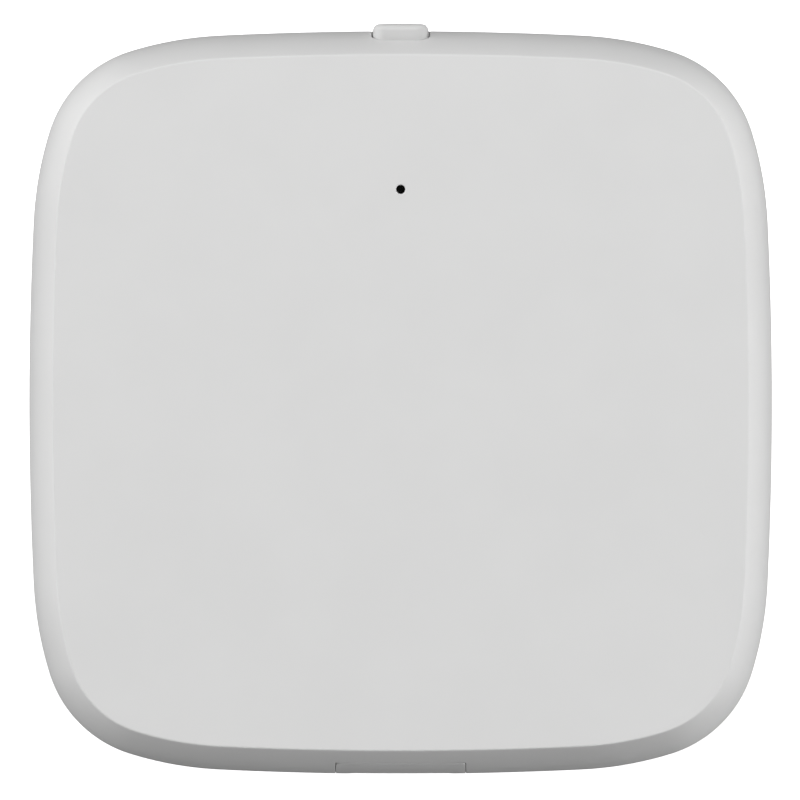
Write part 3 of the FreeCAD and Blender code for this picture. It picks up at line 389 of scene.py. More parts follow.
def button_hole(grow):
    """The outline of the button's opening."""
    return rounded_box(button_half_wide + button_gap, button_half_tall + button_gap,
                       button_corner + button_gap, grow, 8, 12)


def bezel_hole(grow):
    """The outline of the insert's notch, which runs out through the rim below."""
    return rounded_box(bezel_half_wide + bezel_gap, notch_top, notch_corner, grow, 4, 40)


pinhole = turned("pinhole", light_x, light_y, [
    (pinhole_radius, ceiling - mm), (pinhole_radius, face_height - lip),
    (pinhole_radius + lip, face_height + 0.001 * mm), (pinhole_radius + lip, face_height + mm)])
joined(front_cover, pilot_tools + [
    pinhole, skin("recess", recess),
    opening_tool("button_hole", 1, button_hole, button_middle, button_room, lip),
    opening_tool("bezel_hole", -1, bezel_hole, 0.0, notch_inner, bezel_lip)], "DIFFERENCE")
finish_mesh(front_cover, case_plastic)
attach(front_cover, "hub_case")
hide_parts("front_cover")

# ------------------------------------------------------------------------------- base cover
# The lower shell, moulded from the same ABS. A tongue round its rim slips inside the front
# cover and leaves a fine shadow line. Its underside has recesses for four feet and a label,
# and the case screws pass up through posts that the feet hide.

base_low, base_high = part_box("base_cover")
shadow_gap = 0.25 * mm
base_rim = cover_low.z - shadow_gap
base_edge_radius = 5.5 * mm
base_edge_band = 2.4 * mm
base_inner_radius = 2.5 * mm
floor_thickness = 1.6 * mm
tongue_inset = 1.05 * mm
base_edge_centre = base_low.z + math.sqrt(base_edge_radius ** 2
                                          - (base_edge_radius - base_edge_band) ** 2)
base_floor = base_low.z + floor_thickness
underside_round = 0.5 * mm


def base_edge_profile():
    """Inset and height from the flat underside, round its softened edge, up to the wall."""
    reach = base_edge_radius - underside_round
    level = base_low.z + underside_round
    start = math.asin((base_edge_centre - level) / reach)
    inset = base_edge_radius - reach * math.cos(start)
    points = [(inset - underside_round * c, level - underside_round * s)
              for s, c in arc_steps(math.pi / 2, start, 6)]
    points += [(base_edge_radius * (1 - c), base_edge_centre - base_edge_radius * s)
               for s, c in arc_steps(start, 0, 16)[1:]]
    return points


base_profile = base_edge_profile()
base_profile += [(rim_radius * (1 - c), base_rim - rim_radius * (1 - s))
                 for s, c in arc_steps(0, math.pi / 2, 4)]
base_profile += [(tongue_inset, base_rim), (tongue_inset, base_high.z - rim_radius),
                 (tongue_inset + rim_radius, base_high.z), (wall, base_high.z)]
base_profile += [(wall + base_inner_radius * (1 - c), base_floor + base_inner_radius * (1 - s))
                 for s, c in arc_steps(0, math.pi / 2, 8)]
base_cover = skin("base_cover_shell", [case_ring(*place) for place in base_profile])

screw_seat = 4.4 * mm
post_radius = 3.1 * mm
post_top = 6.5 * mm
post_bevel = 0.2 * mm
foot_recess_radius = 4.1 * mm
foot_recess_depth = 0.6 * mm
counterbore_radius = 2.15 * mm
clearance_radius = 1.3 * mm
post_tools = []
base_cuts = []
for x, y in four_corners(case_screw, case_screw):
    post_tools.append(turned("post", x, y, [
        (post_radius, base_floor - weld_depth), (post_radius, post_top - post_bevel),
        (post_radius - post_bevel, post_top)]))
    base_cuts.append(turned("foot_recess", x, y, [
        (foot_recess_radius, base_low.z - mm),
        (foot_recess_radius, base_low.z + foot_recess_depth)]))
    base_cuts.append(turned("counterbore", x, y, [
        (counterbore_radius, base_low.z), (counterbore_radius, screw_seat)]))
    base_cuts.append(turned("clearance", x, y, [
        (clearance_radius, screw_seat - mm), (clearance_radius, post_top + mm)]))
label_low, label_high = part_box("rating_label")
label_gap = 0.2 * mm
label_corner = 1.5 * mm
base_cuts.append(skin("label_recess", [
    [(x, y, z) for x, y in rounded_box(label_high.x, label_high.y, label_corner, label_gap)]
    for z in (base_low.z - mm, label_high.z)]))
tongue_gap = bezel_high.x + bezel_gap
tongue_gap_end = bezel_high.y + 2 * mm
base_cuts.append(skin("tongue_gap", [
    [(x, y, z) for x, y in ((tongue_gap, -half_width), (tongue_gap, tongue_gap_end),
                            (-tongue_gap, tongue_gap_end), (-tongue_gap, -half_width))]
    for z in (base_rim, base_high.z + mm)]))
joined(base_cover, post_tools, "UNION")
joined(base_cover, base_cuts, "DIFFERENCE")
base_plastic = moulded_plastic("base_plastic", case_colour, roughness=0.58, depth=0.006 * mm)
finish_mesh(base_cover, base_plastic)
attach(base_cover, "hub_case")
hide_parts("base_cover")

# ------------------------------------------------------------------------------- port bezel
# A separate ABS insert that slides up into the front cover's notch and lies flush with its
# surface. The slot takes the nose of the plug, with a bevelled mouth, and a flange behind
# keeps the insert in.

plug_half_wide = 4.7 * mm
plug_half_tall = 1.8 * mm
socket_half_tall = 1.58 * mm
socket_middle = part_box("usb_shell")[1].z - socket_half_tall
mouth_bevel = 0.3 * mm
bezel_corner = 0.5 * mm
bezel_edge = 0.02 * mm
bezel_back = 30.2 * mm           # where the insert's body meets its flange
hole_back = 29 * mm              # past the flange's inner face
bezel_shade = 0.985
bezel_middle = (bezel_low.z + bezel_high.z) / 2
bezel_half_tall = (bezel_high.z - bezel_low.z) / 2


def bezel_ring(grow, sink, share=1.0, y=None):
    """The insert's outline, spread by grow or shrunk to a share.

    It lies on the case's surface, set in by sink, or flat at a place y.
    """
    ring = []
    for x, up in rounded_box(bezel_half_wide, bezel_half_tall, bezel_corner, grow, 8, 16):
        height = bezel_middle + up * share
        reach = wall_reach(x * share, height) - sink
        ring.append((x * share, -reach if y is None else y, height))
    return ring


bezel_rings = [bezel_ring(0, 0, y=-bezel_back)]
bezel_rings += [bezel_ring(-bezel_edge * (1 - c), bezel_edge * (1 - s))
                for s, c in arc_steps(0, math.pi / 2, 3)]
bezel_rings += [bezel_ring(-bezel_edge, 0, share / 10) for share in range(9, 0, -1)]
bezel = skin("port_bezel_insert", bezel_rings)
flange_face = 30.5 * mm
flange_top = 12 * mm
flange = [[(x, y, z) for x, z in ((bezel_high.x, bezel_low.z), (bezel_high.x, flange_top),
                                  (-bezel_high.x, flange_top), (-bezel_high.x, bezel_low.z))]
          for y in (-flange_face, bezel_high.y)]
joined(bezel, [skin("flange", flange)], "UNION")


def plug_hole(grow):
    """The outline of the slot for the plug."""
    return rounded_box(plug_half_wide, plug_half_tall, plug_half_tall, grow, 12, 1)


joined(bezel, [opening_tool("plug_hole", -1, plug_hole, socket_middle, hole_back, mouth_bevel)],
       "DIFFERENCE")
bezel_plastic = moulded_plastic("bezel_plastic", tuple(c * bezel_shade for c in case_colour),
                                roughness=0.52, depth=0.003 * mm)
finish_mesh(bezel, bezel_plastic)
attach(bezel, "hub_case")
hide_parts("port_bezel")

# ------------------------------------------------------------------------------ pair button
# The push button in the far side wall, moulded in the same ABS. Its cap stands proud of the
# wall with rounded edges and a slightly crowned face. A flange inside the wall keeps it in,
# and a stem pushes the switch.

cap_edge = 0.6 * mm
crown = 0.05 * mm
flange_thickness = 0.9 * mm
flange_outer_y = 30.6 * mm
flange_corner = 0.4 * mm
stem_radius = 1.3 * mm
stem_bevel = 0.2 * mm
plunger_low, plunger_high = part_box("switch_plunger")
stem_height = (plunger_low.z + plunger_high.z) / 2
# The button's colour is the case's made darker: painted shade for the shade that falls on it at
# the foot of the band.
button_painted_shade = 0.935


def cap_ring(y, grow=0.0, share=1.0):
    """The cap's outline at a place along Y, spread by grow, or shrunk to a share."""
    return [(x * share, y, button_middle + z * share) for x, z in
            rounded_box(button_half_wide, button_half_tall, button_corner, grow, 10)]


cap_rings = [cap_ring(flange_outer_y - flange_thickness / 2)]
cap_rings += [cap_ring(button_high.y - crown - cap_edge * (1 - s), -cap_edge * (1 - c))
              for s, c in arc_steps(0, math.pi / 2, 8)]
cap_rings += [cap_ring(button_high.y - crown * share ** 2, -cap_edge, share)
              for share in (0.8, 0.6, 0.4, 0.2)]
button = skin("pair_button_cap", cap_rings)
flange = skin("flange", [
    [(x, y, button_middle + z) for x, z in
     rounded_box(button_high.x, button_high.z - button_middle, flange_corner, 0.0, 4)]
    for y in (flange_outer_y - flange_thickness, flange_outer_y)])
stem_steps = [math.tau * step / 32 for step in range(32)]
stem = skin("stem", [[(radius * math.cos(a), y, stem_height + radius * math.sin(a))
                      for a in stem_steps]
                     for radius, y in ((stem_radius - stem_bevel, button_low.y),
                                       (stem_radius, button_low.y + stem_bevel),
                                       (stem_radius, flange_outer_y - flange_thickness / 2))])
joined(button, [flange, stem], "UNION")
# The button's plastic is the case colour darkened by painted shade.
button_plastic = moulded_plastic("button_plastic", tuple(c * button_painted_shade for c in case_colour),
                                 roughness=0.52, depth=0.003 * mm)
finish_mesh(button, button_plastic)
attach(button, "button")
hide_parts("pair_button")

# ------------------------------------------------------------------------------ light guide
# A plain rod of clear polycarbonate, pressed into the socket behind the pinhole. Its colour is
# made dark grey as painted shade for the dark pinhole. Its lower end catches the status light,
# which is a white package with a dot of yellow phosphor on it.

guide_radius = light_high.x
guide_edge = 0.15 * mm
light_guide = turned("light_guide_rod", light_x, light_y, [
    (guide_radius - guide_edge, light_low.z), (guide_radius, light_low.z + guide_edge),
    (guide_radius, light_high.z - guide_edge), (guide_radius - guide_edge, light_high.z)])
clear_guide, nodes, links, shader = new_material("clear_guide")
# The rod's dark grey colour is painted shade for the pinhole.
mottle(nodes, links, shader.inputs["Base Color"], 2 * mm,
       (0.16, 0.17, 0.175), (0.19, 0.20, 0.205))
mottle(nodes, links, shader.inputs["Roughness"], 0.5 * mm, 0.05, 0.12)
shader.inputs["Transmission Weight"].default_value = 0.9
shader.inputs["IOR"].default_value = 1.58
finish_mesh(light_guide, clear_guide)
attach(light_guide, "hub_case")
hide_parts("light_pipe")


def soft_block(name, low, high, edge, corner=None):
    """A block between two corners, its upright corners and its rims rounded.

    The upright corners are a little rounder than the rims, so that they never close to a point.
    """
    middle = (low + high) / 2
    half = (high - low) / 2
    corner = corner or 1.3 * edge

    def ring(inset, height):
        """The block's outline at a height, drawn in by inset."""
        return [(middle.x + x, middle.y + y, height) for x, y in
                rounded_box(half.x, half.y, corner, -inset, 4)]
    arc = arc_steps(0, math.pi / 2, 3)
    return skin(name, [ring(edge * (1 - c), low.z + edge * (1 - s)) for s, c in reversed(arc)]
                + [ring(edge * (1 - c), high.z - edge * (1 - s)) for s, c in arc])


led_low, led_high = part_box("status_led")
led_package = soft_block("status_led_package", led_low, led_high, 0.06 * mm)
phosphor_radius = 0.42 * mm
phosphor_depth = 0.12 * mm
joined(led_package, [turned("phosphor_well", light_x, light_y, [
    (phosphor_radius, led_high.z - phosphor_depth),
    (phosphor_radius + phosphor_depth, led_high.z + 0.01 * mm)])], "DIFFERENCE")
led_white, nodes, links, shader = new_material("led_package_white")
mottle(nodes, links, shader.inputs["Base Color"], 0.3 * mm,
       (0.78, 0.77, 0.72), (0.84, 0.83, 0.79))
shader.inputs["Roughness"].default_value = 0.4
finish_mesh(led_package, led_white)
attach(led_package, "hub_case")
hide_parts("status_led")
phosphor = turned("status_led_phosphor", light_x, light_y, [
    (phosphor_radius - 0.01 * mm, led_high.z - phosphor_depth),
    (phosphor_radius + 0.03 * mm, led_high.z - 0.06 * mm), (0.3 * mm, led_high.z - 0.03 * mm)])
phosphor_yellow, nodes, links, shader = new_material("phosphor_yellow")
mottle(nodes, links, shader.inputs["Base Color"], 0.06 * mm,
       (0.80, 0.62, 0.10), (0.90, 0.74, 0.20))
shader.inputs["Roughness"].default_value = 0.25
finish_mesh(phosphor, phosphor_yellow)
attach(phosphor, "hub_case")

# ------------------------------------------------------------------------------- main board
# A one-millimetre glass-epoxy board that follows the inside of the case, under green solder
# mask. Tinned pads lie under every small part, a tinned ring surrounds each screw head on the
# underside, and the copper tracks stand up a little under the mask.


def dress(node, material):
    """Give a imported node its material."""
    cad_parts[node].material_slots[0].material = material


def masked_laminate(name, dark, light):
    """Glossy solder mask over woven glass, whose threads show faintly in colour and relief."""
    material, nodes, links, shader = new_material(name)
    warp = add_noise(nodes, links, 0.45 * mm, detail=1.0, stretch=(1, 0.08, 1))
    weft = add_noise(nodes, links, 0.45 * mm, detail=1.0, stretch=(0.08, 1, 1))
    weave = nodes.new("ShaderNodeMath")
    weave.operation = "MAXIMUM"
    links.new(warp, weave.inputs[0])
    links.new(weft, weave.inputs[1])
    links.new(add_ramp(nodes, links, weave.outputs["Value"], dark, light, 0.45, 0.75),
              shader.inputs["Base Color"])
    add_relief(nodes, links, shader, weave.outputs["Value"], 0.008 * mm, 0.35)
    mottle(nodes, links, shader.inputs["Roughness"], 0.8 * mm, 0.28, 0.40, detail=3.0)
    return material


def plated(name, low, high, roughness, stretch=(1, 1, 1)):
    """Plated or rolled metal: a faint grain along the sheet and an uneven shine."""
    material, nodes, links, shader = new_material(name)
    noise = add_noise(nodes, links, 0.25 * mm, detail=3.0, stretch=stretch)
    links.new(add_ramp(nodes, links, noise, low, high), shader.inputs["Base Color"])
    links.new(add_ramp(nodes, links, noise, roughness - 0.06, roughness + 0.08),
              shader.inputs["Roughness"])
    shader.inputs["Metallic"].default_value = 1.0
    return material


def solids_of(node):
    """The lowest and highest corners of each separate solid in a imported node."""
    work = bmesh.new()
    work.from_mesh(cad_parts[node].data)
    bmesh.ops.remove_doubles(work, verts=work.verts, dist=0.001 * mm)
    waiting = set(work.verts)
    boxes = []
    while waiting:
        open_ends = [waiting.pop()]
        places = []
        while open_ends:
            vert = open_ends.pop()
            places.append(vert.co.copy())
            for edge in vert.link_edges:
                other = edge.other_vert(vert)
                if other in waiting:
                    waiting.remove(other)
                    open_ends.append(other)
        boxes.append((Vector([min(place[i] for place in places) for i in range(3)]),
                      Vector([max(place[i] for place in places) for i in range(3)])))
    work.free()
    return sorted(boxes, key=lambda box: tuple(round(v / mm, 2) for v in box[0]))


def as_one(name, pieces):
    """One piece made of several, each face keeping its material's number."""
    work = bmesh.new()
    for piece in pieces:
        work.from_mesh(piece.data)
        old = piece.data
        bpy.data.objects.remove(piece)
        bpy.data.meshes.remove(old)
    mesh = bpy.data.meshes.new(name)
    work.to_mesh(mesh)
    work.free()
    whole = bpy.data.objects.new(name, mesh)
    bpy.context.scene.collection.objects.link(whole)
    return whole


dress("main_board", masked_laminate("green_solder_mask", (0.010, 0.085, 0.040),
                                    (0.014, 0.105, 0.050)))
pad_thickness = 0.035 * mm
pad_length = 0.45 * mm
pad_overhang = 0.2 * mm


def solder_pads(low, high):
    """Two flat pads on the board, each reaching out from under one end of a part."""
    lengthwise = Vector((1, 0, 0)) if high.x - low.x > high.y - low.y else Vector((0, 1, 0))
    lift = Vector((0, 0, pad_thickness))
    for end, way in ((low, lengthwise), (high, -lengthwise)):
        outer = end - way * pad_overhang
        across = (high - low) * (1 if end is low else -1)
        across -= way * across.dot(way)
        inner = outer + way * (pad_length + pad_overhang) + across
        near = Vector((min(outer.x, inner.x), min(outer.y, inner.y), board_high.z))
        far = Vector((max(outer.x, inner.x), max(outer.y, inner.y), board_high.z))
        yield soft_block("pad", near, far + lift, 0.01 * mm, 0.08 * mm)


pads = [pad for node in ("ceramic_capacitors", "resistors") for low, high in solids_of(node)
        for pad in solder_pads(low, high)]
ring_inner = 1.85 * mm
ring_outer = 2.4 * mm


def tube(name, rings):
    """A closed mesh with a hole through it: the last ring joins the first."""
    count = len(rings[0])
    faces = []
    for row in range(len(rings)):
        for step in range(count):
            after = (step + 1) % count
            here, there = row * count, (row + 1) % len(rings) * count
            faces.append((here + step, here + after, there + after, there + step))
    return closed_mesh(name, [point for ring in rings for point in ring], faces)


def flat_ring(x, y, inner, outer, low, high):
    """A flat ring of metal."""
    angles = [math.tau * step / 40 for step in range(40)]
    loops = [[(x + radius * math.cos(a), y + radius * math.sin(a), height) for a in angles]
             for radius, height in ((inner, low), (outer, low), (outer, high), (inner, high))]
    return tube("ring", loops)


pads += [flat_ring(x, y, ring_inner, ring_outer, board_low.z - pad_thickness, board_low.z)
         for x, y in four_corners(board_screw_x, board_screw_y)]
board_pads = as_one("tinned_pads", pads)
tinned = plated("tinned_copper", (0.62, 0.61, 0.58), (0.74, 0.73, 0.70), 0.32)
finish_mesh(board_pads, tinned)
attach(board_pads, "hub_case")

track_width = 0.3 * mm
track_height = 0.02 * mm


def track(points):
    """A masked copper track along the board, mitred at its bends."""
    places = [Vector(point) * mm for point in points]
    rings = []
    for number, place in enumerate(places):
        before = (place - places[number - 1]).normalized() if number else None
        after = (places[number + 1] - place).normalized() if number < len(places) - 1 else None
        way = ((before or after) + (after or before)).normalized()
        half = track_width / 2 / way.dot(after or before)
        side = Vector((-way.y, way.x)) * half
        left, right = place + side, place - side
        rings.append([(*left, board_high.z), (*left, board_high.z + track_height),
                      (*right, board_high.z + track_height), (*right, board_high.z)])
    return skin("track", rings)


# The routes run in millimetres on the board: to the radios, the light, the switch, the power
# supply and the small parts. Each radio's bundle is one route repeated side by side.
routes = []
route_pitch = 0.7
for number in range(5):
    step = route_pitch * number
    for hand in (-1, 1):
        routes.append([(hand * 2.6, -0.6 - step), (hand * (4.0 + step), -0.6 - step),
                       (hand * (5.2 + step), 0.6 - step), (hand * 10.5, 0.6 - step)])
for hand in (-1, 1):
    routes.append([(hand * 1.2, 6.4), (hand * 1.2, 12.0), (hand * 2.0, 12.8),
                   (hand * 2.0, 16.0), (hand * 1.3, 16.7), (hand * 1.3, 18.0)])
    routes.append([(hand * 4.6, 14.4), (hand * 4.6, 20.5), (hand * 3.0, 22.1),
                   (hand * 3.0, 24.0)])
    routes.append([(hand * 1.2, -11.6), (hand * 1.2, -12.8)])
    routes.append([(hand * 7.8, -19.0), (hand * 9.0, -20.2), (hand * 9.0, -22.0)])
    routes.append([(hand * 10.4, -24.2), (hand * 9.4, -25.2), (hand * 9.4, -27.6)])
    routes.append([(hand * 9.8, 18.8), (hand * 12.4, 21.4), (hand * 14.6, 21.4)])
tracks = as_one("copper_tracks", [track(route) for route in routes])
track_mask, nodes, links, shader = new_material("mask_over_copper")
mottle(nodes, links, shader.inputs["Base Color"], 0.6 * mm,
       (0.020, 0.150, 0.070), (0.030, 0.180, 0.085), detail=3.0)
shader.inputs["Roughness"].default_value = 0.3
finish_mesh(tracks, track_mask)
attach(tracks, "hub_case")

# --------------------------------------------------------------------------- button's switch
# A six-millimetre side-push switch behind the button. A body of glass-filled nylon holds a
# sprung steel dome under a round plunger, and a folded steel frame closes it.

switch_black = moulded_plastic("switch_nylon", (0.022, 0.022, 0.023), roughness=0.45,
                               grain=0.3 * mm, variation=0.12)
dress("switch_body", switch_black)
nickel = plated("nickel_plating", (0.60, 0.59, 0.56), (0.70, 0.69, 0.66), 0.26,
                stretch=(0.3, 1, 1))
dress("switch_frame", nickel)


def turned_along_y(name, x, z, profile, steps=48):
    """A round piece on an axis along Y, from its profile of radius and place along Y."""
    angles = [math.tau * step / steps for step in range(steps)]
    return skin(name, [[(x + radius * math.cos(a), y, z + radius * math.sin(a))
                        for a in angles] for radius, y in profile])


plunger_flange = plunger_high.x
plunger_radius = 1.7 * mm
plunger_round = 0.3 * mm
plunger_bevel = 0.06 * mm
flange_end = plunger_low.y + 0.9 * mm
plunger_profile = [(plunger_flange - plunger_bevel, plunger_low.y),
                   (plunger_flange, plunger_low.y + plunger_bevel),
                   (plunger_flange, flange_end - plunger_bevel),
                   (plunger_flange - plunger_bevel, flange_end), (plunger_radius, flange_end)]
plunger_profile += [(plunger_radius - plunger_round * (1 - c),
                     plunger_high.y - plunger_round * (1 - s))
                    for s, c in arc_steps(0, math.pi / 2, 5)]
plunger = turned_along_y("switch_plunger_cap", 0, stem_height, plunger_profile)
finish_mesh(plunger, switch_black)
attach(plunger, "plunger")
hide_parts("switch_plunger")

dome_low, dome_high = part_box("switch_dome")
dome_radius = dome_high.x
dome_metal = 0.1 * mm
dome_rise = dome_high.y - dome_low.y - dome_metal
dome_steps = 10
dome_outside = [(dome_radius * share / dome_steps,
                 dome_high.y - dome_rise * (share / dome_steps) ** 2)
                for share in range(1, dome_steps + 1)]
dome_draw = 0.985                # the inside's radius as a share of the outside's
dome_inside = [(radius * dome_draw, y - dome_metal) for radius, y in reversed(dome_outside)]
dome = turned_along_y("switch_dome_spring", 0, stem_height, dome_outside + dome_inside, 40)
spring_steel = plated("spring_steel", (0.56, 0.56, 0.55), (0.68, 0.68, 0.67), 0.22)
finish_mesh(dome, spring_steel)
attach(dome, "hub_case")
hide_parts("switch_dome")
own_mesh(dome)

# ------------------------------------------------------------------------------ power socket
# A USB-C socket: a seamless drawn steel shell with four legs soldered into slots in the board,
# and a black moulded tongue that carries twenty-four gold-flashed contacts.

dress("usb_shell", plated("socket_steel", (0.58, 0.57, 0.55), (0.70, 0.69, 0.67), 0.30,
                          stretch=(1, 0.25, 1)))
dress("usb_tongue", moulded_plastic("tongue_nylon", (0.018, 0.018, 0.019), roughness=0.38,
                                    grain=0.2 * mm, variation=0.12))
gold_flash = plated("gold_flash", (0.78, 0.56, 0.20), (0.90, 0.68, 0.30), 0.24,
                    stretch=(1, 0.3, 1))
dress("usb_contacts", gold_flash)

# ----------------------------------------------------------------------------- radio modules
# Two bought-in radio modules, Wi-Fi on one side and the low-power mesh radio on the other.
# Each is a thin board with a folded tin-plate can over its chips, flat gold-flashed contacts
# along its long edges, and a printed antenna in the open end.

module_mask = masked_laminate("blue_solder_mask", (0.006, 0.022, 0.060),
                              (0.009, 0.032, 0.080))
can_steel = plated("tin_plate", (0.60, 0.60, 0.59), (0.72, 0.72, 0.71), 0.34,
                   stretch=(1, 0.2, 1))
antenna_width = 0.5 * mm
antenna_turns = 5
copper_thickness = 0.03 * mm
copper_edge = 0.008 * mm
edge_pitch = 1.27 * mm
edge_contact = 0.7 * mm
contact_reach = 0.6 * mm


def antenna_track(low, high, can_top):
    """A printed track that runs to and fro across the open end of the module's board."""
    margin = 1.2 * mm
    left, right = low.x + margin, high.x - margin
    start, end = can_top + 1.0 * mm, high.y - 0.8 * mm
    pitch = (right - left - antenna_width) / (2 * antenna_turns)
    lap = 0.1 * antenna_width
    top = high.z + copper_thickness
    for step in range(2 * antenna_turns + 1):
        x = left + pitch * step
        yield soft_block("run", Vector((x, start, high.z)),
                         Vector((x + antenna_width, end, top)), copper_edge)
        if step < 2 * antenna_turns:
            y = end - antenna_width if step % 2 == 0 else start
            yield soft_block("turn", Vector((x + antenna_width - lap, y, high.z)),
                             Vector((x + pitch + lap, y + antenna_width, top)), copper_edge)


for radio in ("wifi", "mesh"):
    dress(f"{radio}_module_board", module_mask)
    dress(f"{radio}_module_shield", can_steel)
    module_low, module_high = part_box(f"{radio}_module_board")
    can_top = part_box(f"{radio}_module_shield")[1].y
    copper = list(antenna_track(module_low, module_high, can_top))
    contacts = int((can_top - module_low.y) / edge_pitch)
    for number in range(contacts):
        y = module_low.y + edge_pitch * (number + 0.5)
        for x, inward in ((module_low.x, 1), (module_high.x, -1)):
            inner = x + inward * contact_reach
            copper.append(soft_block(
                "contact", Vector((min(x, inner), y, module_high.z)),
                Vector((max(x, inner), y + edge_contact, module_high.z + copper_thickness)),
                copper_edge))
    module_copper = as_one(f"{radio}_module_copper", copper)
    finish_mesh(module_copper, gold_flash)
    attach(module_copper, "hub_case")

# ------------------------------------------------------------------------------ power supply
# A pressed ferrite inductor, a bulk capacitor in an aluminium can on a moulded plastic base,
# and a voltage regulator with bent leads, which together feed the radios.

inductor_low, inductor_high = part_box("power_inductor")
inductor = soft_block("power_inductor_body", inductor_low, inductor_high, 0.25 * mm, 0.9 * mm)
ferrite, nodes, links, shader = new_material("pressed_ferrite")
mottle(nodes, links, shader.inputs["Base Color"], 0.12 * mm,
       (0.045, 0.045, 0.048), (0.085, 0.085, 0.088), detail=4.0)
mottle(nodes, links, shader.inputs["Roughness"], 0.12 * mm, 0.60, 0.75, detail=4.0)
finish_mesh(inductor, ferrite)
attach(inductor, "hub_case")
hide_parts("power_inductor")

can_low, can_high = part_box("capacitor_can")
can_middle = (can_low + can_high) / 2
can_radius = (can_high.x - can_low.x) / 2
can_round = 0.5 * mm
can_bevel = 0.12 * mm
waist = 1.1 * mm                 # height of the rolled groove that grips the rubber bung
waist_width = 0.5 * mm
waist_depth = 0.22 * mm
can_profile = [(can_radius - can_bevel, can_low.z), (can_radius, can_low.z + can_bevel)]
can_profile += [(can_radius - waist_depth * math.sin(math.pi * step / 6),
                 can_low.z + waist + waist_width * step / 6) for step in range(7)]
can_profile += [(can_radius - can_round * (1 - c), can_high.z - can_round * (1 - s))
                for s, c in arc_steps(0, math.pi / 2, 6)]
can = turned("capacitor_can_shell", can_middle.x, can_middle.y, can_profile)
can_aluminium = plated("drawn_aluminium", (0.70, 0.70, 0.71), (0.82, 0.82, 0.83), 0.24,
                       stretch=(1, 1, 0.15))
finish_mesh(can, can_aluminium)
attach(can, "hub_case")
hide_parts("capacitor_can")

foot_low, foot_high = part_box("capacitor_base")
can_base = soft_block("capacitor_base_plate", foot_low, foot_high, 0.06 * mm, 0.5 * mm)
finish_mesh(can_base, switch_black)
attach(can_base, "hub_case")
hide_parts("capacitor_base")


def gull_lead(low, high, body_low, body_high):
    """A lead bent from strip: out of the body's side, down, and out along the board."""
    outward = 1 if low.y + high.y > body_low.y + body_high.y else -1
    root = body_high.y - 0.1 * mm if outward > 0 else body_low.y + 0.1 * mm
    tip = high.y if outward > 0 else low.y
    metal = 0.15 * mm
    bend = 0.07 * mm
    shoulder = low.z + (body_high.z - body_low.z) * 0.5
    reach = abs(tip - root)
    path = [(0, shoulder), (reach * 0.36, shoulder), (reach * 0.44, shoulder - bend),
            (reach * 0.56, low.z + metal + bend), (reach * 0.64, low.z + metal),
            (reach, low.z + metal)]
    rings = []
    for out, height in path:
        y = root + outward * out
        rings.append([(low.x, y, height), (high.x, y, height),
                      (high.x, y, height - metal), (low.x, y, height - metal)])
    return skin("lead", rings)


def chip(name, node, pin_mark):
    """A moulded chip with its leads: the tallest solid in the node is the body."""
    boxes = sorted(solids_of(node), key=lambda box: (box[1] - box[0]).z)
    body_low, body_high = boxes.pop()
    body = soft_block(name, body_low, body_high, 0.08 * mm)
    mark = pin_mark / 2
    joined(body, [turned("pin_mark", body_low.x + 1.6 * pin_mark, body_low.y + 1.6 * pin_mark, [
        (mark, body_high.z - 0.06 * mm), (mark + 0.03 * mm, body_high.z + 0.01 * mm)], 24)],
        "DIFFERENCE")
    leads = [gull_lead(low, high, body_low, body_high) for low, high in boxes]
    for lead in leads:
        lead.data.polygons.foreach_set("material_index", [1] * len(lead.data.polygons))
    whole = as_one(name + "_package", [body] + leads)
    finish_mesh(whole, chip_moulding, tinned)
    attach(whole, "hub_case")
    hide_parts(node)


chip_moulding = moulded_plastic("epoxy_moulding", (0.030, 0.030, 0.031), roughness=0.55,
                                grain=0.1 * mm, variation=0.10)
chip("regulator", "voltage_regulator", 0.3 * mm)

# -------------------------------------------------------------------------- memory and clock
# The memory chip holds the hub's program in a moulded body with bent leads, and the crystal
# keeps the hub's time under a seam-welded metal lid. Both are soldered to the board.

chip("memory", "flash_chip", 0.5 * mm)
crystal_low, crystal_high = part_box("crystal")
crystal = soft_block("crystal_lid", crystal_low, crystal_high, 0.1 * mm, 0.3 * mm)
finish_mesh(crystal, can_steel)
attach(crystal, "hub_case")
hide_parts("crystal")

# ------------------------------------------------------- small ceramic capacitors and resistors
# Fired ceramic blocks that a machine places on their pads. Both kinds have tinned ends, which
# wrap over the block and stand a little proud of it.

cap_share = 0.22                 # how much of a block's length each tinned end takes
proud = 0.02 * mm
end_cover = 0.05 * mm            # tin over the block's end face


def chip_block(low, high):
    """A ceramic block set in a little, and a tinned end over each of its ends."""
    along = 0 if high.x - low.x > high.y - low.y else 1
    inset = Vector((proud, proud, 0))
    inset[along] = end_cover
    body = soft_block("block", low + inset, high - inset - Vector((0, 0, proud)), 0.03 * mm)
    length = (high[along] - low[along]) * cap_share
    near_end = high.copy()
    near_end[along] = low[along] + length
    far_start = low.copy()
    far_start[along] = high[along] - length
    ends = [soft_block("end", low, near_end, 0.05 * mm),
            soft_block("end", far_start, high, 0.05 * mm)]
    for end in ends:
        end.data.polygons.foreach_set("material_index", [1] * len(end.data.polygons))
    return [body] + ends


for node, low_tone, high_tone, slot in (
        ("ceramic_capacitors", (0.42, 0.29, 0.17), (0.50, 0.36, 0.22), "ceramic"),
        ("resistors", (0.035, 0.035, 0.036), (0.060, 0.060, 0.062), "resistor_body")):
    blocks = as_one(node + "_blocks", [part for low, high in solids_of(node)
                                       for part in chip_block(low, high)])
    glaze, nodes, links, shader = new_material(slot + "_glaze")
    mottle(nodes, links, shader.inputs["Base Color"], 0.15 * mm, low_tone, high_tone, detail=3.0)
    shader.inputs["Roughness"].default_value = 0.5
    finish_mesh(blocks, glaze, tinned)
    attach(blocks, "hub_case")
    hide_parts(node)

# ----------------------------------------------------------------------------------- screws
# Zinc-plated self-tapping screws with pan heads and cross recesses: four hold the board under
# the front cover, and four longer ones hold the two shells together from below.

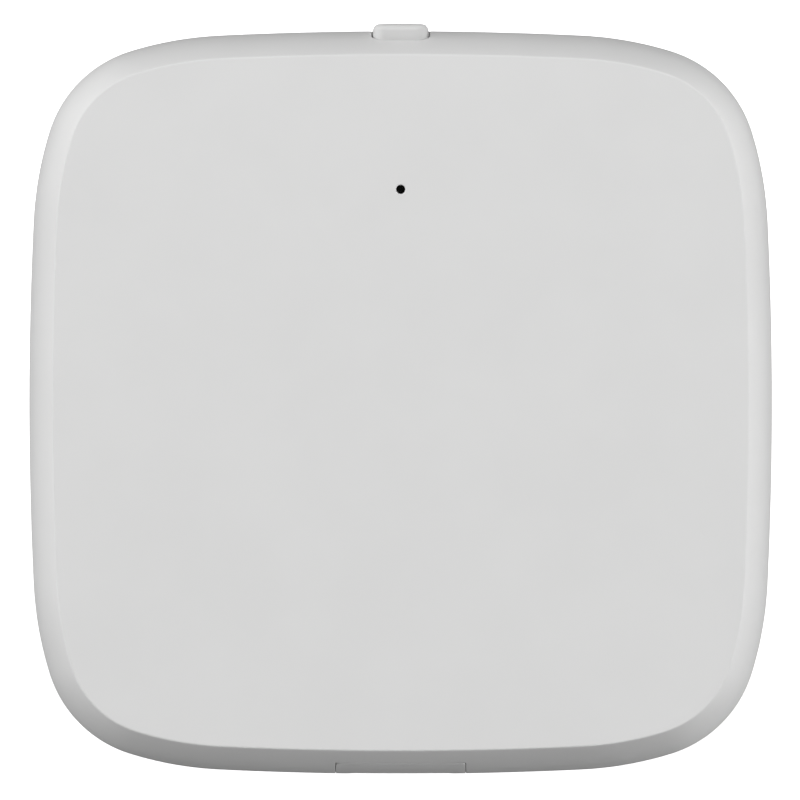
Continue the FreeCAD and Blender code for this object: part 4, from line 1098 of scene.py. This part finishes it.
zinc = plated("zinc_plating", (0.58, 0.59, 0.60), (0.70, 0.71, 0.73), 0.33)
thread_depth = 0.2 * mm
thread_pitch = 0.8 * mm
head_round = 0.6 * mm
tip_radius = 0.25 * mm
points_round = 48
recess_reach = 1.1 * mm
recess_width = 0.25 * mm
recess_depth = 0.8 * mm


def threaded_screw(low, high, head_height, shank_radius):
    """A screw that points up: a pan head with a cross recess, and a thread that winds upwards."""
    x, y = (low.x + high.x) / 2, (low.y + high.y) / 2
    head_radius = (high.x - low.x) / 2
    rings = [[(head_radius - head_round * (1 - c), low.z + head_round * (1 - s))] * points_round
             for s, c in reversed(arc_steps(0, math.pi / 2, 5))]
    start = low.z + head_height
    rings.append([(head_radius, start)] * points_round)
    rings.append([(shank_radius - thread_depth, start)] * points_round)
    layers = int((high.z - start) / (thread_pitch / 8))
    for step in range(1, layers):
        height = start + (high.z - start) * step / layers
        fade = min(1.0, 3 * (1 - step / layers) + 0.1)
        ring = []
        for number in range(points_round):
            phase = (height / thread_pitch - number / points_round) % 1
            crest = max(0.0, 1 - abs(phase - 0.5) * 4)
            ring.append(((shank_radius - thread_depth * (1 - crest)) * fade, height))
        rings.append(ring)
    rings.append([(tip_radius, high.z)] * points_round)
    screw = skin("screw", [[(x + radius * math.cos(math.tau * number / points_round),
                             y + radius * math.sin(math.tau * number / points_round), height)
                            for number, (radius, height) in enumerate(ring)] for ring in rings])
    arms = [soft_block("recess", Vector((x - a, y - b, low.z - mm)),
                       Vector((x + a, y + b, low.z + recess_depth)), 0.05 * mm)
            for a, b in ((recess_reach, recess_width), (recess_width, recess_reach))]
    return joined(screw, arms, "DIFFERENCE")


for node, head_height, shank_radius in (("board_screws", 1.3 * mm, 0.95 * mm),
                                        ("case_screws", 1.6 * mm, 1.05 * mm)):
    screws = as_one(node + "_set", [threaded_screw(low, high, head_height, shank_radius)
                                    for low, high in solids_of(node)])
    finish_mesh(screws, zinc)
    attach(screws, "hub_case")
    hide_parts(node)

# ------------------------------------------------------------------------------ rubber feet
# Four round rubber pads with a rounded rim and a shallow dish, bonded into the base's
# recesses over the case screws.

foot_rubber, nodes, links, shader = new_material("foot_rubber_matt")
mottle(nodes, links, shader.inputs["Base Color"], 0.9 * mm,
       (0.060, 0.060, 0.060), (0.085, 0.085, 0.085), detail=4.0)
mottle(nodes, links, shader.inputs["Roughness"], 0.3 * mm, 0.72, 0.86)
add_relief(nodes, links, shader, add_noise(nodes, links, 0.12 * mm, detail=3.0), 0.02 * mm, 0.5)
foot_round = 0.35 * mm
foot_bevel = 0.1 * mm
foot_rim = 1.4 * mm              # from the foot's side to the edge of the dish
foot_dish = 0.08 * mm
for end in ("socket", "button"):
    for hand in ("left", "right"):
        node = f"rubber_foot_{end}_{hand}"
        foot_low, foot_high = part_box(node)
        foot_middle = (foot_low + foot_high) / 2
        foot_radius = (foot_high.x - foot_low.x) / 2
        dish_radius = foot_radius - foot_rim
        profile = [(dish_radius * 0.4, foot_low.z + foot_dish),
                   (dish_radius * 0.8, foot_low.z + foot_dish),
                   (dish_radius, foot_low.z + foot_dish * 0.6),
                   (dish_radius + 0.4 * mm, foot_low.z)]
        profile += [(foot_radius - foot_round * (1 - c), foot_low.z + foot_round * (1 - s))
                    for s, c in reversed(arc_steps(0, math.pi / 2, 6))]
        profile += [(foot_radius, foot_high.z - foot_bevel),
                    (foot_radius - foot_bevel, foot_high.z)]
        foot = turned(node + "_pad", foot_middle.x, foot_middle.y, profile, 64)
        finish_mesh(foot, foot_rubber)
        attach(foot, "hub_case")
        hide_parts(node)

# ------------------------------------------------------------------------------ rating label
# A blank satin polyester label, die-cut with round corners and stuck by its own adhesive in the
# shallow recess under the base.

label_edge = 0.03 * mm
label = soft_block("rating_label_film", label_low, label_high, label_edge, label_corner)
satin_film, nodes, links, shader = new_material("satin_film")
mottle(nodes, links, shader.inputs["Base Color"], 5 * mm,
       (0.50, 0.50, 0.50), (0.53, 0.53, 0.53), detail=3.0)
mottle(nodes, links, shader.inputs["Roughness"], 0.2 * mm, 0.30, 0.38, stretch=(1, 0.1, 1))
finish_mesh(label, satin_film)
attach(label, "hub_case")
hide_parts("rating_label")

# -------------------------------------------------------------------------------- the studio
# A seamless white table that glows softly, as product tables do, under large soft lights. The
# camera looks straight down at the face.

table_mesh = bpy.data.meshes.new("table_top")
table_reach = 4.0
table_mesh.from_pydata([(-table_reach, -table_reach, 0), (table_reach, -table_reach, 0),
                        (table_reach, table_reach, 0), (-table_reach, table_reach, 0)],
                       [], [(0, 1, 2, 3)])
table_top = bpy.data.objects.new("table_top", table_mesh)
bpy.context.scene.collection.objects.link(table_top)
table_white, nodes, links, shader = new_material("table_white")
mottle(nodes, links, shader.inputs["Base Color"], 90 * mm, 0.86, 0.90)
shader.inputs["Roughness"].default_value = 0.8
shader.inputs["Emission Color"].default_value = (1, 1, 1, 1)
shader.inputs["Emission Strength"].default_value = 0.85
table_mesh.materials.append(table_white)
table_top.visible_diffuse = False
table_top.visible_glossy = False

world = bpy.data.worlds.new("room")
world.use_nodes = True
world.node_tree.nodes["Background"].inputs["Color"].default_value = (1, 1, 1, 1)
world.node_tree.nodes["Background"].inputs["Strength"].default_value = 0.045
bpy.context.scene.world = world


glare_free_below = 20            # degrees: lower lights light the sides but give no shine


def soft_light(name, bearing, elevation, distance, width, height, watts):
    """A softbox that faces the hub. Its bearing runs clockwise from the button's side."""
    light = bpy.data.lights.new(name, "AREA")
    light.shape = "RECTANGLE"
    light.size = width
    light.size_y = height
    light.energy = watts
    lamp = bpy.data.objects.new(name, light)
    lamp.visible_glossy = elevation > glare_free_below
    bpy.context.scene.collection.objects.link(lamp)
    level = distance * math.cos(math.radians(elevation))
    lamp.location = (level * math.sin(math.radians(bearing)),
                     level * math.cos(math.radians(bearing)),
                     distance * math.sin(math.radians(elevation)))
    aim = Vector((0, 0, face_height / 2)) - lamp.location
    lamp.rotation_euler = aim.to_track_quat("-Z", "Y").to_euler()


# Each light's name, bearing, elevation, distance, width, height and watts.
for light_setting in (("far", 0, 50, 0.9, 0.5, 0.4, 5.7),
                      ("far_left", 315, 30, 0.8, 0.5, 0.3, 0.9),
                      ("left", 270, 30, 0.8, 0.5, 0.3, 0.9),
                      ("left_low", 270, 12, 0.8, 0.5, 0.2, 3.9),
                      ("right_low", 90, 12, 0.8, 0.5, 0.2, 3.9),
                      ("near_right", 135, 30, 0.8, 0.5, 0.3, 2.3)):
    soft_light(*light_setting)

camera_height = 2.4
camera_aside = (-0.06 * mm, 0.22 * mm)
frame_width = 70.0 * mm          # what the camera takes in, at the widest part of the case
camera = bpy.data.objects.new("camera", bpy.data.cameras.new("camera"))
bpy.context.scene.collection.objects.link(camera)
camera.data.sensor_width = 36.0
camera.data.lens = camera.data.sensor_width * (camera_height - band_centre) / frame_width
camera.location = (*camera_aside, camera_height)
bpy.context.scene.camera = camera
bpy.context.scene.view_settings.view_transform = "Standard"

bpy.context.view_layer.update()
